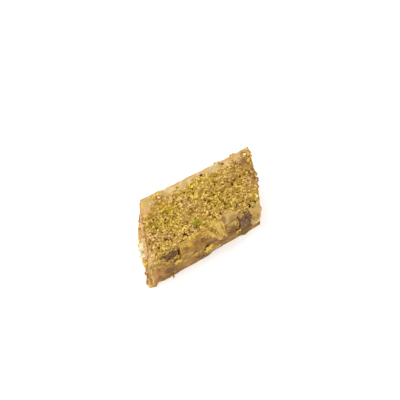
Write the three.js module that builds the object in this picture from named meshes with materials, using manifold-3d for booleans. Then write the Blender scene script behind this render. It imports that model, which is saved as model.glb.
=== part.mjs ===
// A piece of baklava: a parallelogram cut from a tray, lying flat as it was baked.
// Bottom pastry, a layer of chopped pistachios and top pastry are three solids on top of one another.
// The top carries a mat of ground pistachios. Its leaves hang over the front in two aprons and a torn flap,
// and are broken away beside them, where the nuts show.
// Millimetres. +X along the long sides, +Y from front to back, +Z up.
// The origin is the centre of the bounding box, on the surface that the piece lies on.

import * as THREE from 'three';
import { mergeVertices } from 'three/addons/utils/BufferGeometryUtils.js';
import Module from 'manifold-3d';

const wasm = await Module();
wasm.setup();

// ---- Driving dimensions ----

const LENGTH = 60; // each long side
const WIDTH_LEFT = 32; // across the long sides, at the left end
const WIDTH_RIGHT = 29.5; // the cut is not quite parallel
const CUT_ANGLE = THREE.MathUtils.degToRad(67); // between a short side and a long one
const FLARE = 0.9; // how far the foot stands out past the top on every side
const LEFT_SWELL = 2.2; // how far the left side bulges, low down
const RIGHT_SWELL = 1.4;
const BACK_SWELL = 0.5;
const TIP_REACH = 1.4; // how far the front left tip is drawn out, at the foot
const LIP = 0.8; // how far the lowest leaves stand out in front

const BOTTOM_THICKNESS = 8.4;
const FILLING_THICKNESS = 5;
const TOP_THICKNESS = 4.5;
const GAP = 0.3; // between one layer and the next
const TRIM = 0.4; // a layer is made this much too thick, and cut level where it meets the next
const FILLING_FLOOR = BOTTOM_THICKNESS + GAP;
const FILLING_CEILING = FILLING_FLOOR + FILLING_THICKNESS;
const TOP_FLOOR = FILLING_CEILING + GAP;
const TOP_SURFACE = TOP_FLOOR + TOP_THICKNESS;

const GROOVE = 0.42; // depth of the groove between two ridges, each a few pastry leaves stuck together
const RAGGED = 0.34; // how far the cut wanders from leaf to leaf
const WAVY = 0.3; // how far the leaves rise and fall along a side

const MAT_THICKNESS = 0.45; // ground pistachio on the top
const MAT_RELIEF = 0.36; // height of its bumps
const GRAIN_RADIUS = [1.5, 0.85]; // coarsest and finest grain that is a shape of its own
const GRAIN_COUNT = 94;
const MAT_BUMP = 3; // from one bump of the mat to the next
const NUT_RADIUS = [1.9, 1.2]; // chopped pistachios in the filling
const NUT_SPACING = 3.7;

// What covers or opens the front, as shares of its length from the left.
const LEFT_OPENING = [0.1, 0.26]; // only above the long apron
const RIGHT_OPENING = [0.79, 0.92];
const LONG_APRON = [0.07, 0.79];
const CORNER_APRON = [0.91, 1];
const FLAP = [0.26, 0.65];
const SHOULDER = [0.26, 0.79]; // where the top rounds over into the leaves that hang down
const LIP_SPAN = [0.09, 0.54]; // and once more below the right opening
const LIP_AGAIN = 0.86;
const BROKEN_DEPTH = 3; // how far the top pastry is broken away over an opening
const HOLLOW_DEPTH = 3.2; // how far the bottom pastry is hollowed below the right opening

// ---- Small helpers ----

const { lerp, smoothstep } = THREE.MathUtils;

// A repeatable stream of numbers from 0 to 1.
function randomStream(seed) {
  let state = seed;
  return () => {
    state = (state * 1664525 + 1013904223) >>> 0;
    return state / 2 ** 32;
  };
}

// A smooth random field from -1 to 1 whose bumps are one unit apart, different for each seed.
function noise(x, y, seed) {
  const knot = (i, j) => {
    const big = Math.sin(i * 127.1 + j * 311.7 + seed * 74.7) * 43758.5453;
    return 2 * (big - Math.floor(big)) - 1;
  };
  const [i, j] = [Math.floor(x), Math.floor(y)];
  const [across, up] = [smoothstep(x - i, 0, 1), smoothstep(y - j, 0, 1)];
  return lerp(lerp(knot(i, j), knot(i + 1, j), across), lerp(knot(i, j + 1), knot(i + 1, j + 1), across), up);
}

// Long and short waves of a cut edge, different for each leaf.
const wander = (x, y, leaf) => 0.6 * noise(x / 7, y / 7, leaf) + 0.4 * noise(x / 2.6, y / 2.6, leaf + 50);

// 1 between the two shares, falling smoothly to 0 over `soft` on either side.
function within([from, to], share, soft = 0.025) {
  return smoothstep(share, from - soft, from + soft) * (1 - smoothstep(share, to - soft, to + soft));
}

const bell = (x, middle, spread) => Math.exp(-(((x - middle) / spread) ** 2));

// A hump over shares 0 to 1, nothing at both ends and 1 at its peak, which lies nearer the steeper end.
function hump(share, rise, fall) {
  const peak = rise / (rise + fall);
  return (share / peak) ** rise * ((1 - share) / (1 - peak)) ** fall;
}

// A box of the given segments whose points, each coordinate from 0 to 1, are put in place by a function.
function shapedBox([alongX, alongY, alongZ], place) {
  const geometry = new THREE.BoxGeometry(1, 1, 1, alongX, alongY, alongZ);
  const points = geometry.getAttribute('position');
  for (let i = 0; i < points.count; i++) {
    const spot = place(points.getX(i) + 0.5, points.getY(i) + 0.5, points.getZ(i) + 0.5);
    points.setXYZ(i, spot.x, spot.y, spot.z);
  }
  return geometry;
}

function toSolid(geometry) {
  const bare = geometry.clone().deleteAttribute('normal').deleteAttribute('uv');
  const welded = mergeVertices(bare, 1e-4);
  return new wasm.Manifold(
    new wasm.Mesh({
      numProp: 3,
      vertProperties: new Float32Array(welded.getAttribute('position').array),
      triVerts: new Uint32Array(welded.index.array),
    }),
  );
}

function toMesh(name, solid, material) {
  const { vertProperties, triVerts } = solid.getMesh();
  const geometry = new THREE.BufferGeometry();
  geometry.setAttribute('position', new THREE.BufferAttribute(vertProperties, 3));
  geometry.setIndex(new THREE.BufferAttribute(triVerts, 1));
  geometry.computeVertexNormals();
  const mesh = new THREE.Mesh(geometry, material);
  mesh.name = name;
  return mesh;
}

const joined = (solids) => solids.reduce((sum, solid) => sum.add(solid));

// A slab of space between two heights, wider than the piece.
function between(low, high) {
  const slab = new THREE.BoxGeometry(2 * LENGTH, 2 * LENGTH, high - low);
  return toSolid(slab.translate(0, 0, (low + high) / 2));
}

// ---- The plan ----

const widthAt = (u) => lerp(WIDTH_LEFT, WIDTH_RIGHT, u);

// The point of the plan at share u along the length and share v from front to back.
function planPoint(u, v) {
  const y = (v - 0.5) * widthAt(u);
  return new THREE.Vector2((u - 0.5) * LENGTH + y / Math.tan(CUT_ANGLE), y);
}

// Which way is out at the rim of the plan: nothing inside it, a diagonal at its corners.
function outward(u, v) {
  const out = new THREE.Vector2();
  const end = new THREE.Vector2(Math.sin(CUT_ANGLE), -Math.cos(CUT_ANGLE));
  if (u < 1e-6) out.sub(end);
  if (u > 1 - 1e-6) out.add(end);
  if (v < 1e-6) out.y -= 1;
  if (v > 1 - 1e-6) out.y += 1;
  return out.normalize();
}

// Distances in millimetres from each side of the plan.
function distances(u, v) {
  const across = LENGTH * Math.sin(CUT_ANGLE);
  return { front: v * widthAt(u), back: (1 - v) * widthAt(u), left: u * across, right: (1 - u) * across };
}

const rimDistance = (u, v) => Math.min(...Object.values(distances(u, v)));

// How far a side swells out, most of all past its middle and low down. The back does so all along.
function swell(u, v, height) {
  if (v > 1 - 1e-6) return BACK_SWELL;
  if (u < 1e-6) return LEFT_SWELL * hump(v, 1, 0.7) * (1 - 0.85 * height ** 2);
  return u > 1 - 1e-6 ? RIGHT_SWELL * hump(v, 1.5, 1) * (1 - 0.5 * height) : 0;
}

// The front left tip is drawn out towards its foot.
function tipReach(u, v, height) {
  const { front, left } = distances(u, v);
  return TIP_REACH * Math.exp(-(front ** 2 + left ** 2) / 7) * (1 - height);
}

// How far a side stands out at one height, given as a share of the whole piece.
function sidePush(u, v, height, leaf, groove) {
  const { x, y } = planPoint(u, v);
  const spread = FLARE * (1 - height) + swell(u, v, height) + tipReach(u, v, height);
  return spread + RAGGED * wander(x, y, leaf) - GROOVE * groove;
}

// ---- The top surface ----

// How far the top pastry is broken away from the front edge. The left opening is shallower next to the flap.
function brokenAway(u) {
  const ramp = lerp(1, 0.75, smoothstep(u, ...LEFT_OPENING));
  return BROKEN_DEPTH * (ramp * within(LEFT_OPENING, u) + 0.85 * within(RIGHT_OPENING, u, 0.012));
}

// 1 where ground pistachio covers the pastry, 0 on the bare rims at the back, at the left corners and over
// the aprons.
function cover(u, v) {
  const { x, y } = planPoint(u, v);
  const { front, back, left } = distances(u, v);
  const stray = 1.1 * wander(1.7 * x, 1.7 * y, 3);
  const bareBack = lerp(0.8, 3.6, smoothstep(u, 0.15, 0.22)) - 3.6 * smoothstep(u, 0.88, 0.94);
  const backRim = bareBack + 1.5 * bell(u, 0.36, 0.1) + stray;
  const leftRim = lerp(1.8, 0.1, smoothstep(v, 0.15, 0.35)) + 4.6 * smoothstep(v, 0.7, 0.82) + 0.7 * stray;
  const shoulder = lerp(0.8, 2.6, smoothstep(u, 0.3, 0.6)) * within(SHOULDER, u) + 2.4 * bell(u, 0.71, 0.045);
  const frontRim = shoulder + 2.6 * smoothstep(u, ...CORNER_APRON) + brokenAway(u) + 0.3 * stray;
  return (
    smoothstep(back, backRim - 0.8, backRim + 0.8) *
    smoothstep(left, leftRim - 0.8, leftRim + 0.8) *
    smoothstep(front, frontRim - 0.6, frontRim + 0.6)
  );
}

// Height of the top pastry's upper face: uneven, rounded at the rim, drooping at the front left corner and
// raised at the back ones.
function topHeight(u, v) {
  const { x, y } = planPoint(u, v);
  const { front, left, back, right } = distances(u, v);
  const uneven = 0.3 * noise(x / 16, y / 16, 1);
  const rounded = 0.4 * Math.exp(-rimDistance(u, v) / 1.1);
  const droop = 1.1 * within(SHOULDER, u, 0.04) + 1.4 * smoothstep(u, 0.88, 0.96);
  const shoulder = droop * Math.exp(-front / 2.2);
  const frontLeftTip = 1.3 * Math.exp(-(front ** 2 + left ** 2) / 40);
  const nearBackCorner = Math.exp(-(left ** 2) / 50) + Math.exp(-(right ** 2) / 50);
  const backTips = 0.9 * Math.exp(-(back ** 2) / 50) * nearBackCorner;
  const mat = cover(u, v) * (MAT_THICKNESS + MAT_RELIEF * noise(x / MAT_BUMP, y / MAT_BUMP, 2));
  return TOP_SURFACE + uneven + mat - rounded - shoulder - frontLeftTip + backTips;
}

// ---- Pastry stacks ----

// A stack of leaf groups between a flat floor and a ceiling, which is a height that may vary over the plan.
// `setBack` is how far its front stands behind the plan's front edge, at a share of the length and of the
// height.
function pastryStack({ cells, floor, ceiling, groups, firstLeaf, setBack }) {
  const place = (u, v, w) => {
    const inner = lerp(setBack(u, w) / widthAt(u), 1, v);
    const spot = planPoint(u, inner);
    const step = Math.round(w * groups * 2);
    const groove = step % 2 === 0 ? 1 : 0;
    const wave = WAVY * noise(spot.x / 8, spot.y / 8, firstLeaf) * Math.sin(Math.PI * w);
    const z = lerp(floor, ceiling(u, inner), w) + wave;
    spot.addScaledVector(outward(u, v), sidePush(u, v, z / TOP_SURFACE, firstLeaf + step, groove));
    return new THREE.Vector3(spot.x, spot.y, z);
  };
  return toSolid(shapedBox([...cells, groups * 2], place));
}

// The bottom pastry: its lowest leaf stands out as a lip, and its face falls back behind the aprons
// and further back under the right opening.
function bottomStack() {
  const setBack = (u, w) => {
    const aboveLip = smoothstep(w, 0.1, 0.28);
    const hollow = HOLLOW_DEPTH * within(RIGHT_OPENING, u, 0.012) * smoothstep(w, 0.15, 0.5);
    const behindAprons = within(LONG_APRON, u) + smoothstep(u, ...CORNER_APRON);
    const lip = LIP * (within(LIP_SPAN, u) + 1.1 * bell(u, LIP_AGAIN, 0.03));
    return aboveLip * 0.9 * behindAprons + hollow - lip * (1 - aboveLip);
  };
  const ceiling = () => BOTTOM_THICKNESS + TRIM;
  return pastryStack({ cells: [23, 12], floor: -TRIM, ceiling, groups: 5, firstLeaf: 0, setBack });
}

function topStack() {
  const floor = TOP_FLOOR - TRIM;
  const [ceiling, setBack] = [topHeight, brokenAway];
  return pastryStack({ cells: [32, 17], floor, ceiling, groups: 4, firstLeaf: 20, setBack });
}

// ---- Leaves that hang or stand out ----

// A thin leaf: `middle` places its mid-surface, with both faces split alike.
function thinLeaf([alongX, alongY], thickness, middle) {
  const nudge = 0.001;
  return toSolid(
    shapedBox([alongX, alongY, 1], (a, b, w) => {
      const [nearA, nearB] = [Math.min(a, 1 - nudge), Math.min(b, 1 - nudge)];
      const here = middle(nearA, nearB);
      const alongA = middle(nearA + nudge, nearB).sub(here);
      const alongB = middle(nearA, nearB + nudge).sub(here);
      return middle(a, b).addScaledVector(alongA.cross(alongB).normalize(), (w - 0.5) * thickness);
    }),
  );
}

// An apron: soft leaves that cover the filling's face over a span of the front, with ragged sides and hem.
// Where the left opening is torn through it, its upper edge is lower and hangs free.
function apron({ span, cells, hem, bulge, seed }) {
  const middle = (a, b) => {
    const share = lerp(...span, a);
    const torn = within(LEFT_OPENING, share);
    const low = hem + 1.1 * noise(7 * a, 0, seed);
    const z = lerp(low, TOP_FLOOR + lerp(2, -1, torn), b);
    const side = (a - 0.5) * 0.02 * noise(z / 2.5, 2 * Math.sign(a - 0.5), seed + 1);
    const root = planPoint(share + side, 0);
    const hang = Math.max(smoothstep(1 - b, 0, 0.22), torn);
    const out = lerp(-1.1, 1.0, hang) + 0.35 * noise(6 * a, 3 * b, seed + 2) * hang;
    const round = bulge * Math.sin(Math.PI * a) * Math.sin(Math.PI * b);
    return new THREE.Vector3(root.x, root.y - out - round, z);
  };
  return thinLeaf(cells, 0.7, middle);
}

const APRONS = [
  { span: LONG_APRON, cells: [20, 5], hem: 2.6, bulge: 0.3, seed: 5 },
  { span: CORNER_APRON, cells: [5, 5], hem: 4.6, bulge: 1.1, seed: 31 },
];

// The flap: the uppermost leaf, torn so that a short tongue hangs at its left end and a long one, which leans
// to the right, at the other.
function flap() {
  const middle = (a, b) => {
    const hem = 1.1 + 2.3 * bell(a, 0.02, 0.12) + 6.8 * smoothstep(a, 0.66, 0.94) + 0.5 * noise(14 * a, 0, 8);
    const fall = (1 - b) * hem;
    const root = planPoint(lerp(...FLAP, a) + 0.006 * fall * smoothstep(a, 0.7, 1), 0);
    const rounding = Math.exp(-fall / 1.5);
    const out = 2.4 - 3.9 * rounding + 0.08 * fall + 0.3 * noise(8 * a, 2 * b, 9);
    const down = fall + 0.6 + 0.8 * (1 - rounding);
    return new THREE.Vector3(root.x, root.y - out, TOP_SURFACE - down);
  };
  return thinLeaf([21, 5], 0.6, middle);
}

// A small flake that stands out from a side, bending at its free end.
function flake({ u, v, z, length, width, lift, turn }) {
  const root = planPoint(u, v).addScaledVector(outward(u, v), sidePush(u, v, z / TOP_SURFACE, 0, 0) - 1.5);
  const out = outward(u, v).rotateAround(new THREE.Vector2(), turn);
  const middle = (a, b) => {
    const reach = a * length;
    const side = (b - 0.5) * width * (1 - 0.7 * a * a) + 0.5 * a * Math.sin(9 * u + 5 * v);
    const x = root.x + out.x * reach - out.y * side;
    const y = root.y + out.y * reach + out.x * side;
    return new THREE.Vector3(x, y, z + lift * a * a + 0.25 * Math.sin(5 * b + 3 * a));
  };
  return thinLeaf([3, 2], 0.5, middle);
}

const BOTTOM_FLAKES = [
  { u: 0, v: 0.5, z: 6.4, length: 2.9, width: 5.5, lift: 0.9, turn: 0.2 },
  { u: 0, v: 0.14, z: 2.6, length: 2.2, width: 3.2, lift: 0.5, turn: -0.2 },
  { u: 0.19, v: 0, z: 1.2, length: 3.8, width: 1.6, lift: -0.4, turn: -0.35 },
  { u: 0.42, v: 1, z: 3.4, length: 2.8, width: 5, lift: 0.6, turn: 0.1 },
];

const TOP_FLAKES = [
  { u: 0, v: 0.36, z: 15.6, length: 3.1, width: 5.5, lift: -0.9, turn: 0.1 },
  { u: 0.16, v: 1, z: 17.2, length: 2.2, width: 6, lift: 0.3, turn: 0 },
  { u: 1, v: 0.56, z: 16.2, length: 2.6, width: 4, lift: 0.4, turn: -0.2 },
  { u: 0.7, v: 1, z: 17.3, length: 2.2, width: 6, lift: 0.3, turn: 0 },
  { u: 0.86, v: 1, z: 17.4, length: 2.5, width: 5, lift: 0.4, turn: 0.1 },
];

// ---- Nuts and grains ----

// An angular scrap of nut: a low polyhedron, squashed and turned at random.
function scrap(radius, random) {
  const geometry = new THREE.IcosahedronGeometry(radius, 0);
  const turn = new THREE.Euler(random() * Math.PI, random() * Math.PI, random() * Math.PI);
  geometry.scale(1, lerp(0.6, 0.95, random()), lerp(0.5, 0.85, random()));
  geometry.applyMatrix4(new THREE.Matrix4().makeRotationFromEuler(turn));
  return geometry;
}

// Ground pistachio: the largest grains first, each in the emptiest of a few random spots, sunk in the mat.
function grains() {
  const random = randomStream(7);
  const placed = [];
  const solids = [];
  while (placed.length < GRAIN_COUNT) {
    const radius = lerp(...GRAIN_RADIUS, (placed.length / GRAIN_COUNT) ** 0.6);
    let best = null;
    for (let attempt = 0; attempt < 14; attempt++) {
      const [u, v] = [random(), random()];
      if (cover(u, v) < 0.55 || rimDistance(u, v) < 0.7) continue;
      const spot = planPoint(u, v);
      const room = Math.min(...placed.map((other) => other.distanceTo(spot)), 99);
      if (!best || room > best.room) best = { spot, room, z: topHeight(u, v) };
    }
    if (!best) continue;
    placed.push(best.spot);
    solids.push(toSolid(scrap(radius, random).translate(best.spot.x, best.spot.y, best.z - 0.3 * radius)));
  }
  return solids;
}

// How far the face of the filling stands out at a height, without its nuts: behind the cut, but past it at
// the right side.
function fillingPush(u, v, z) {
  const { x, y } = planPoint(u, v);
  const front = v < 1e-6 ? -0.5 * within(LONG_APRON, u) : 0;
  const right = u > 1 - 1e-6 ? 0.5 * Math.sin(Math.PI * v) : 0;
  return swell(u, v, z / TOP_SURFACE) - 1 + 0.4 * noise(x / 3, y / 3, z) + front + right;
}

// Mash that bulges into an opening: a lumpy block between two heights, fused to the filling. `root` is how
// deep it is at its lower end.
function heap({ span, low, high, root, seed }) {
  return toSolid(
    shapedBox([5, 2, 3], (u, v, w) => {
      const { x, y } = planPoint(lerp(...span, u), 0);
      const arch = Math.sqrt(Math.sin(Math.PI * lerp(0.1, 0.9, u)));
      const z = lerp(low, lerp(FILLING_CEILING, high, arch), w) + 0.3 * noise(2 * u, 3 * v, seed + 1) * w;
      const out = lerp(-0.1, -lerp(root, 1.1, w), v) - 0.2 * w + 0.2 * noise(3 * u, 3 * w, seed);
      return new THREE.Vector3(x, y - out, z);
    }),
  );
}

const HEAPS = [
  { span: [0.135, 0.235], low: FILLING_CEILING - 1, high: 16.2, root: 2.6, seed: 3 },
  { span: [0.825, 0.89], low: 5.6, high: 16.6, root: 1.3, seed: 13 },
];

// The filling: a core set back from the cut, with chopped pistachios standing out of it wherever it shows.
function nutFilling() {
  const core = toSolid(
    shapedBox([20, 11, 3], (u, v, w) => {
      const z = lerp(FILLING_FLOOR - TRIM, FILLING_CEILING + TRIM, w);
      const spot = planPoint(u, v).addScaledVector(outward(u, v), fillingPush(u, v, z));
      return new THREE.Vector3(spot.x, spot.y, z);
    }),
  );
  const random = randomStream(23);
  const sides = [
    { start: [0, 0], along: [1, 0], length: LENGTH },
    { start: [1, 0], along: [0, 1], length: WIDTH_RIGHT },
    { start: [1, 1], along: [-1, 0], length: LENGTH },
    { start: [0, 1], along: [0, -1], length: WIDTH_LEFT },
  ];
  const nuts = [];
  for (const { start, along, length } of sides) {
    const count = Math.round(length / NUT_SPACING);
    for (let i = 0; i < count; i++) {
      const share = (i + 0.2 + 0.6 * random()) / count;
      const [u, v] = [start[0] + along[0] * share, start[1] + along[1] * share];
      const radius = lerp(...NUT_RADIUS, random());
      const middle = (FILLING_FLOOR + FILLING_CEILING) / 2;
      const z = middle + (random() - 0.5) * Math.max(0, FILLING_THICKNESS - 2 * radius);
      if (v < 1e-6 && u < LONG_APRON[1]) continue;
      const out = fillingPush(u, v, z) + (0.35 * random() - 0.1) * radius;
      const spot = planPoint(u, v).addScaledVector(outward(u, v), out);
      nuts.push(toSolid(scrap(radius, random).translate(spot.x, spot.y, z)));
    }
  }
  const layer = joined([core, ...nuts]).intersect(between(FILLING_FLOOR, FILLING_CEILING));
  return joined([layer, ...HEAPS.map(heap)]);
}

// ---- The piece ----

const materials = {
  bottomPastry: new THREE.MeshStandardMaterial({ color: '#c39a58', roughness: 0.42, metalness: 0 }),
  filling: new THREE.MeshStandardMaterial({ color: '#7d5c34', roughness: 0.6, metalness: 0 }),
  toppedPastry: new THREE.MeshStandardMaterial({ color: '#c9a04e', roughness: 0.55, metalness: 0 }),
};

const roughBottom = joined([bottomStack(), ...BOTTOM_FLAKES.map(flake)]);
const bottomPastry = roughBottom.intersect(between(0, BOTTOM_THICKNESS));
const levelTopStack = topStack().intersect(between(TOP_FLOOR, 2 * TOP_SURFACE));
const looseLeaves = [...APRONS.map(apron), flap(), ...TOP_FLAKES.map(flake)];
const topPastry = joined([levelTopStack, ...looseLeaves, ...grains()]);

const baklava = new THREE.Group();
baklava.add(
  toMesh('bottom_pastry', bottomPastry, materials.bottomPastry),
  toMesh('nut_filling', nutFilling(), materials.filling),
  toMesh('top_pastry', topPastry, materials.toppedPastry),
);

const box = new THREE.Box3().setFromObject(baklava);
const centre = box.getCenter(new THREE.Vector3());
baklava.position.set(-centre.x, -centre.y, -box.min.z);

export default baklava;
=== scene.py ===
# %% [markdown]
# # A piece of baklava
#
# Baklava is built in a tray: a stack of buttered leaves of pastry, a layer of chopped pistachios, and a
# second stack of leaves. It is cut into parallelograms before it is baked, soaked in syrup afterwards and
# strewn with ground pistachio. One piece shows everything at once: the cut edges of dozens of leaves, the
# nuts between them, and a heap of crumbs that no two times looks the same.
#
# The three solids of the measured model are loaded first. Each is hidden later by the detailed pieces that
# stand for it, but they fix the size: the box that is printed here is the one that the finished piece has to
# stay in.

# %% Load the measured frame
import math

import bpy
import numpy as np
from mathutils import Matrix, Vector


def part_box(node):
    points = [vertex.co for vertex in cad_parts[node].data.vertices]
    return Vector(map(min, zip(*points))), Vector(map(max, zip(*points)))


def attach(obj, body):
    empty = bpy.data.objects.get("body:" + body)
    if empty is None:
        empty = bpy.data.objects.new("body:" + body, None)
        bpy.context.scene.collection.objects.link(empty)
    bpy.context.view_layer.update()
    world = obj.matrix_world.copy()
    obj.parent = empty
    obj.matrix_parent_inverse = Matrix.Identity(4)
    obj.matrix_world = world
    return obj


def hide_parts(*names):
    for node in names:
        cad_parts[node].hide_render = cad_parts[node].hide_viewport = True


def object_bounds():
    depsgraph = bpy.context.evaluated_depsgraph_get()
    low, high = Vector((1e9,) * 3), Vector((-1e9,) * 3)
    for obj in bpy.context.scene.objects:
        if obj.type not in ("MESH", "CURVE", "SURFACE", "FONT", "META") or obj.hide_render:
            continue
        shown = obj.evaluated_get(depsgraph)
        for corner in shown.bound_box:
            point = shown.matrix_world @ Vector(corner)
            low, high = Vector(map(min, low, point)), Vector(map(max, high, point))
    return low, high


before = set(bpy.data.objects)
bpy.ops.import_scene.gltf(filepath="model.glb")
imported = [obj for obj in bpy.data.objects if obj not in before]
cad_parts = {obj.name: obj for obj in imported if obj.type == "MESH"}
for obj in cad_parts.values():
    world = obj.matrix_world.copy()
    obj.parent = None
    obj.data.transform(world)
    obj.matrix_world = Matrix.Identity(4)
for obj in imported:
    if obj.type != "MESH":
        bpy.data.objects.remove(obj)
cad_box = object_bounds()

MM = 0.001
print("box in mm:", [[round(x / MM, 2) for x in corner] for corner in cad_box])

# %% [markdown]
# ## The sizes of the piece
#
# All shapes below are worked out in millimetres, on a plan whose middle is the middle of the top's
# parallelogram, and turned into metres when they become meshes. The height of the bottom stack is read from
# its measured solid, and the rest are the same few dimensions that the solids were made from.

# %% Sizes
LENGTH = 60.0  # each long side
WIDTH_LEFT = 32.0  # across the long sides, at the left end
WIDTH_RIGHT = 29.5
CUT_ANGLE = math.radians(67)  # between a short side and a long one
PLAN_SHIFT = np.array([0.6025, 0.4079, 0.0])  # from the frame's origin to the middle of the plan
ON_RIM = 1e-6  # a share as near to 0 or 1 as this is on the rim
TINY = 1e-9  # keeps a length that something is divided by from being nothing

FLARE = 0.9  # how far the foot stands out past the top
LEFT_SWELL = 2.2  # how far the sides bulge
RIGHT_SWELL = 1.4
BACK_SWELL = 0.5
TIP_REACH = 1.4  # how far the foot is drawn out at the front left tip
LIP = 0.8  # how far the soaked leaves at the foot stand out
GROOVE = 0.42  # depth of the grooves between groups of leaves
RAGGED = 0.34  # how far a cut edge wanders
WAVY = 0.3  # how far a leaf rises and falls

GAP = 0.3  # between the measured solids
TRIM = 0.4  # how far the leaves reach past their own layer, to close that gap
FILLING_THICKNESS = 5.0
TOP_THICKNESS = 4.5
BOTTOM_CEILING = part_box("bottom_pastry")[1].z / MM
FILLING_FLOOR = BOTTOM_CEILING + GAP
FILLING_CEILING = FILLING_FLOOR + FILLING_THICKNESS
TOP_FLOOR = FILLING_CEILING + GAP
TOP_SURFACE = TOP_FLOOR + TOP_THICKNESS
MAT_THICKNESS = 0.45  # of the ground pistachio that is pressed together
MAT_RELIEF = 0.36  # how high its broad lumps are
MAT_BUMP = 3.0  # and how far apart

# Shares of the front's length from the left.
LEFT_OPENING = (0.1, 0.26)
RIGHT_OPENING = (0.79, 0.92)
LONG_APRON = (0.07, 0.79)
CORNER_APRON = (0.91, 1.0)
FLAP = (0.26, 0.65)
SHOULDER = (0.26, 0.79)
print("layers in mm:", [round(z, 2) for z in (BOTTOM_CEILING, FILLING_FLOOR, FILLING_CEILING, TOP_SURFACE)])

# %% [markdown]
# ## Smooth chance
#
# Nothing on a pastry is straight, and nothing is evenly rough. The unevenness comes from value noise: random
# numbers on the knots of a grid, blended smoothly between them. It gives the same answer for the same place
# each time, so neighbouring leaves, crumbs and surfaces can all ask for it and agree.

# %% Noise
def lerp(a, b, t):
    return a + (b - a) * t


def smoothstep(x, low, high):
    t = np.clip((x - low) / (high - low), 0, 1)
    return t * t * (3 - 2 * t)


def noise(x, y, seed):
    """A smooth random field from -1 to 1 whose bumps are one unit apart, different for each seed.

    The odd factors only have to scramble the numbers of the knots.
    """
    x, y, seed = np.broadcast_arrays(np.asarray(x, float), y, seed)
    i, j = np.floor(x), np.floor(y)

    def knot(across, up):
        big = np.sin((i + across) * 127.1 + (j + up) * 311.7 + seed * 74.7) * 43758.5453
        return 2 * (big - np.floor(big)) - 1

    a, b = smoothstep(x - i, 0, 1), smoothstep(y - j, 0, 1)
    return lerp(lerp(knot(0, 0), knot(1, 0), a), lerp(knot(0, 1), knot(1, 1), a), b)


def waves(x, y, *layers):
    """Noise of several sizes. Each layer is its height, its size and its seed."""
    return sum(height * noise(x / size, y / size, seed) for height, size, seed in layers)


def wander(x, y, leaf):
    """Long and short waves of a cut edge, different for each leaf."""
    return waves(x, y, (0.6, 7, leaf), (0.4, 2.6, leaf + 50))


print("noise at a few places:", noise(np.array([0.3, 4.2, 9.9]), 1.5, 2).round(3))

# %% Bands, bumps and blotches
def within(span, share, soft=0.025):
    """1 between the two shares, falling smoothly to 0 over soft on either side."""
    low, high = span
    return smoothstep(share, low - soft, low + soft) * (1 - smoothstep(share, high - soft, high + soft))


def bell(x, middle, spread):
    return np.exp(-(((x - middle) / spread) ** 2))


def nearness(x, y, place, reach):
    """1 at the place, falling off on all sides over the reach."""
    return np.exp(-((x - place[0]) ** 2 + (y - place[1]) ** 2) / reach**2)


def blotches(x, y, spots, seed):
    """How deep each point lies in a ragged blotch. A spot is its middle, its two reaches and its strength."""
    ragged = 0.3 * noise(x * 40, y / 1.5, seed) + 0.15 * noise(x * 110, y / 0.6, seed + 1)
    most = np.zeros(np.shape(x))
    for mx, my, rx, ry, strength in spots:
        away = np.sqrt(((x - mx) / rx) ** 2 + ((y - my) / ry) ** 2)
        most = np.maximum(most, strength * (1 - smoothstep(away + ragged, 0.35, 1.15)))
    return most


def hump(share, rise, fall):
    """Nothing at shares 0 and 1, and 1 at a peak between them that lies nearer the steeper end."""
    peak = rise / (rise + fall)
    share = np.clip(share, 0, 1)
    return (share / peak) ** rise * ((1 - share) / (1 - peak)) ** fall


print("a hump at even shares:", hump(np.linspace(0, 1, 6), 1, 0.7).round(2))

# %% Streams of chance
def random_stream(seed):
    """Numbers from 0 to 1 by a congruential generator, the same that the measured solids were made with."""
    state = seed
    while True:
        state = (state * 1664525 + 1013904223) % 2**32
        yield state / 2**32


chance = np.random.default_rng(11)
print("the first numbers of a stream:", [round(number, 3) for _, number in zip(range(3), random_stream(7))])

# %% [markdown]
# ## The plan
#
# A place on the piece is given by two shares: u along the length and v from the front to the back. The plan
# turns them into millimetres. Round the rim, each point also has a way out, which the cut sides follow: the
# foot stands out further than the top, because the soft stack spreads as it bakes, and every side but the
# front swells, the left one most.

# %% The plan
def width_at(u):
    return lerp(WIDTH_LEFT, WIDTH_RIGHT, u)


def plan_point(u, v):
    y = (v - 0.5) * width_at(u)
    return (u - 0.5) * LENGTH + y / math.tan(CUT_ANGLE), y


def distances(u, v):
    """Millimetres from the front, back, left and right sides."""
    across = LENGTH * math.sin(CUT_ANGLE)
    return v * width_at(u), (1 - v) * width_at(u), u * across, (1 - u) * across


print("corners in mm:", [tuple(round(float(x), 1) for x in plan_point(u, v)) for u in (0, 1) for v in (0, 1)])

# %% Ways out
RIGHT_WAY = (math.sin(CUT_ANGLE), -math.cos(CUT_ANGLE))
SIDE_WAYS = np.array([(0, -1), (0, 1), (-RIGHT_WAY[0], -RIGHT_WAY[1]), RIGHT_WAY])


def xyz(x, y, z):
    """Points from arrays, or numbers, of their places."""
    return np.stack(np.broadcast_arrays(x, y, z), axis=-1)


def moved(x, y, way, out, z):
    """Points of the plan moved out along a way, at a height."""
    return xyz(x + way[..., 0] * out, y + way[..., 1] * out, z)


def way_out(u, v, reach=0.9):
    """The way out near the rim: the nearest side's, or a blend near a corner. It fades over reach."""
    pull = np.stack([np.exp(-d / reach) for d in distances(u, v)], axis=-1)
    way = pull @ SIDE_WAYS
    length = np.linalg.norm(way, axis=-1, keepdims=True)
    return way / np.maximum(length, TINY), pull.max(axis=-1)


print("way out at the front left corner:", way_out(0.0, 0.0)[0].round(2))

# %% How far the sides stand out
def swell(u, v, height):
    """How far a side swells out, most of all past its middle and low down."""
    left = LEFT_SWELL * hump(v, 1, 0.7) * (1 - 0.85 * height**2)
    right = RIGHT_SWELL * hump(v, 1.5, 1) * (1 - 0.5 * height)
    sides = np.where(u < ON_RIM, left, np.where(u > 1 - ON_RIM, right, 0))
    return np.where(v > 1 - ON_RIM, BACK_SWELL, sides)


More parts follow.
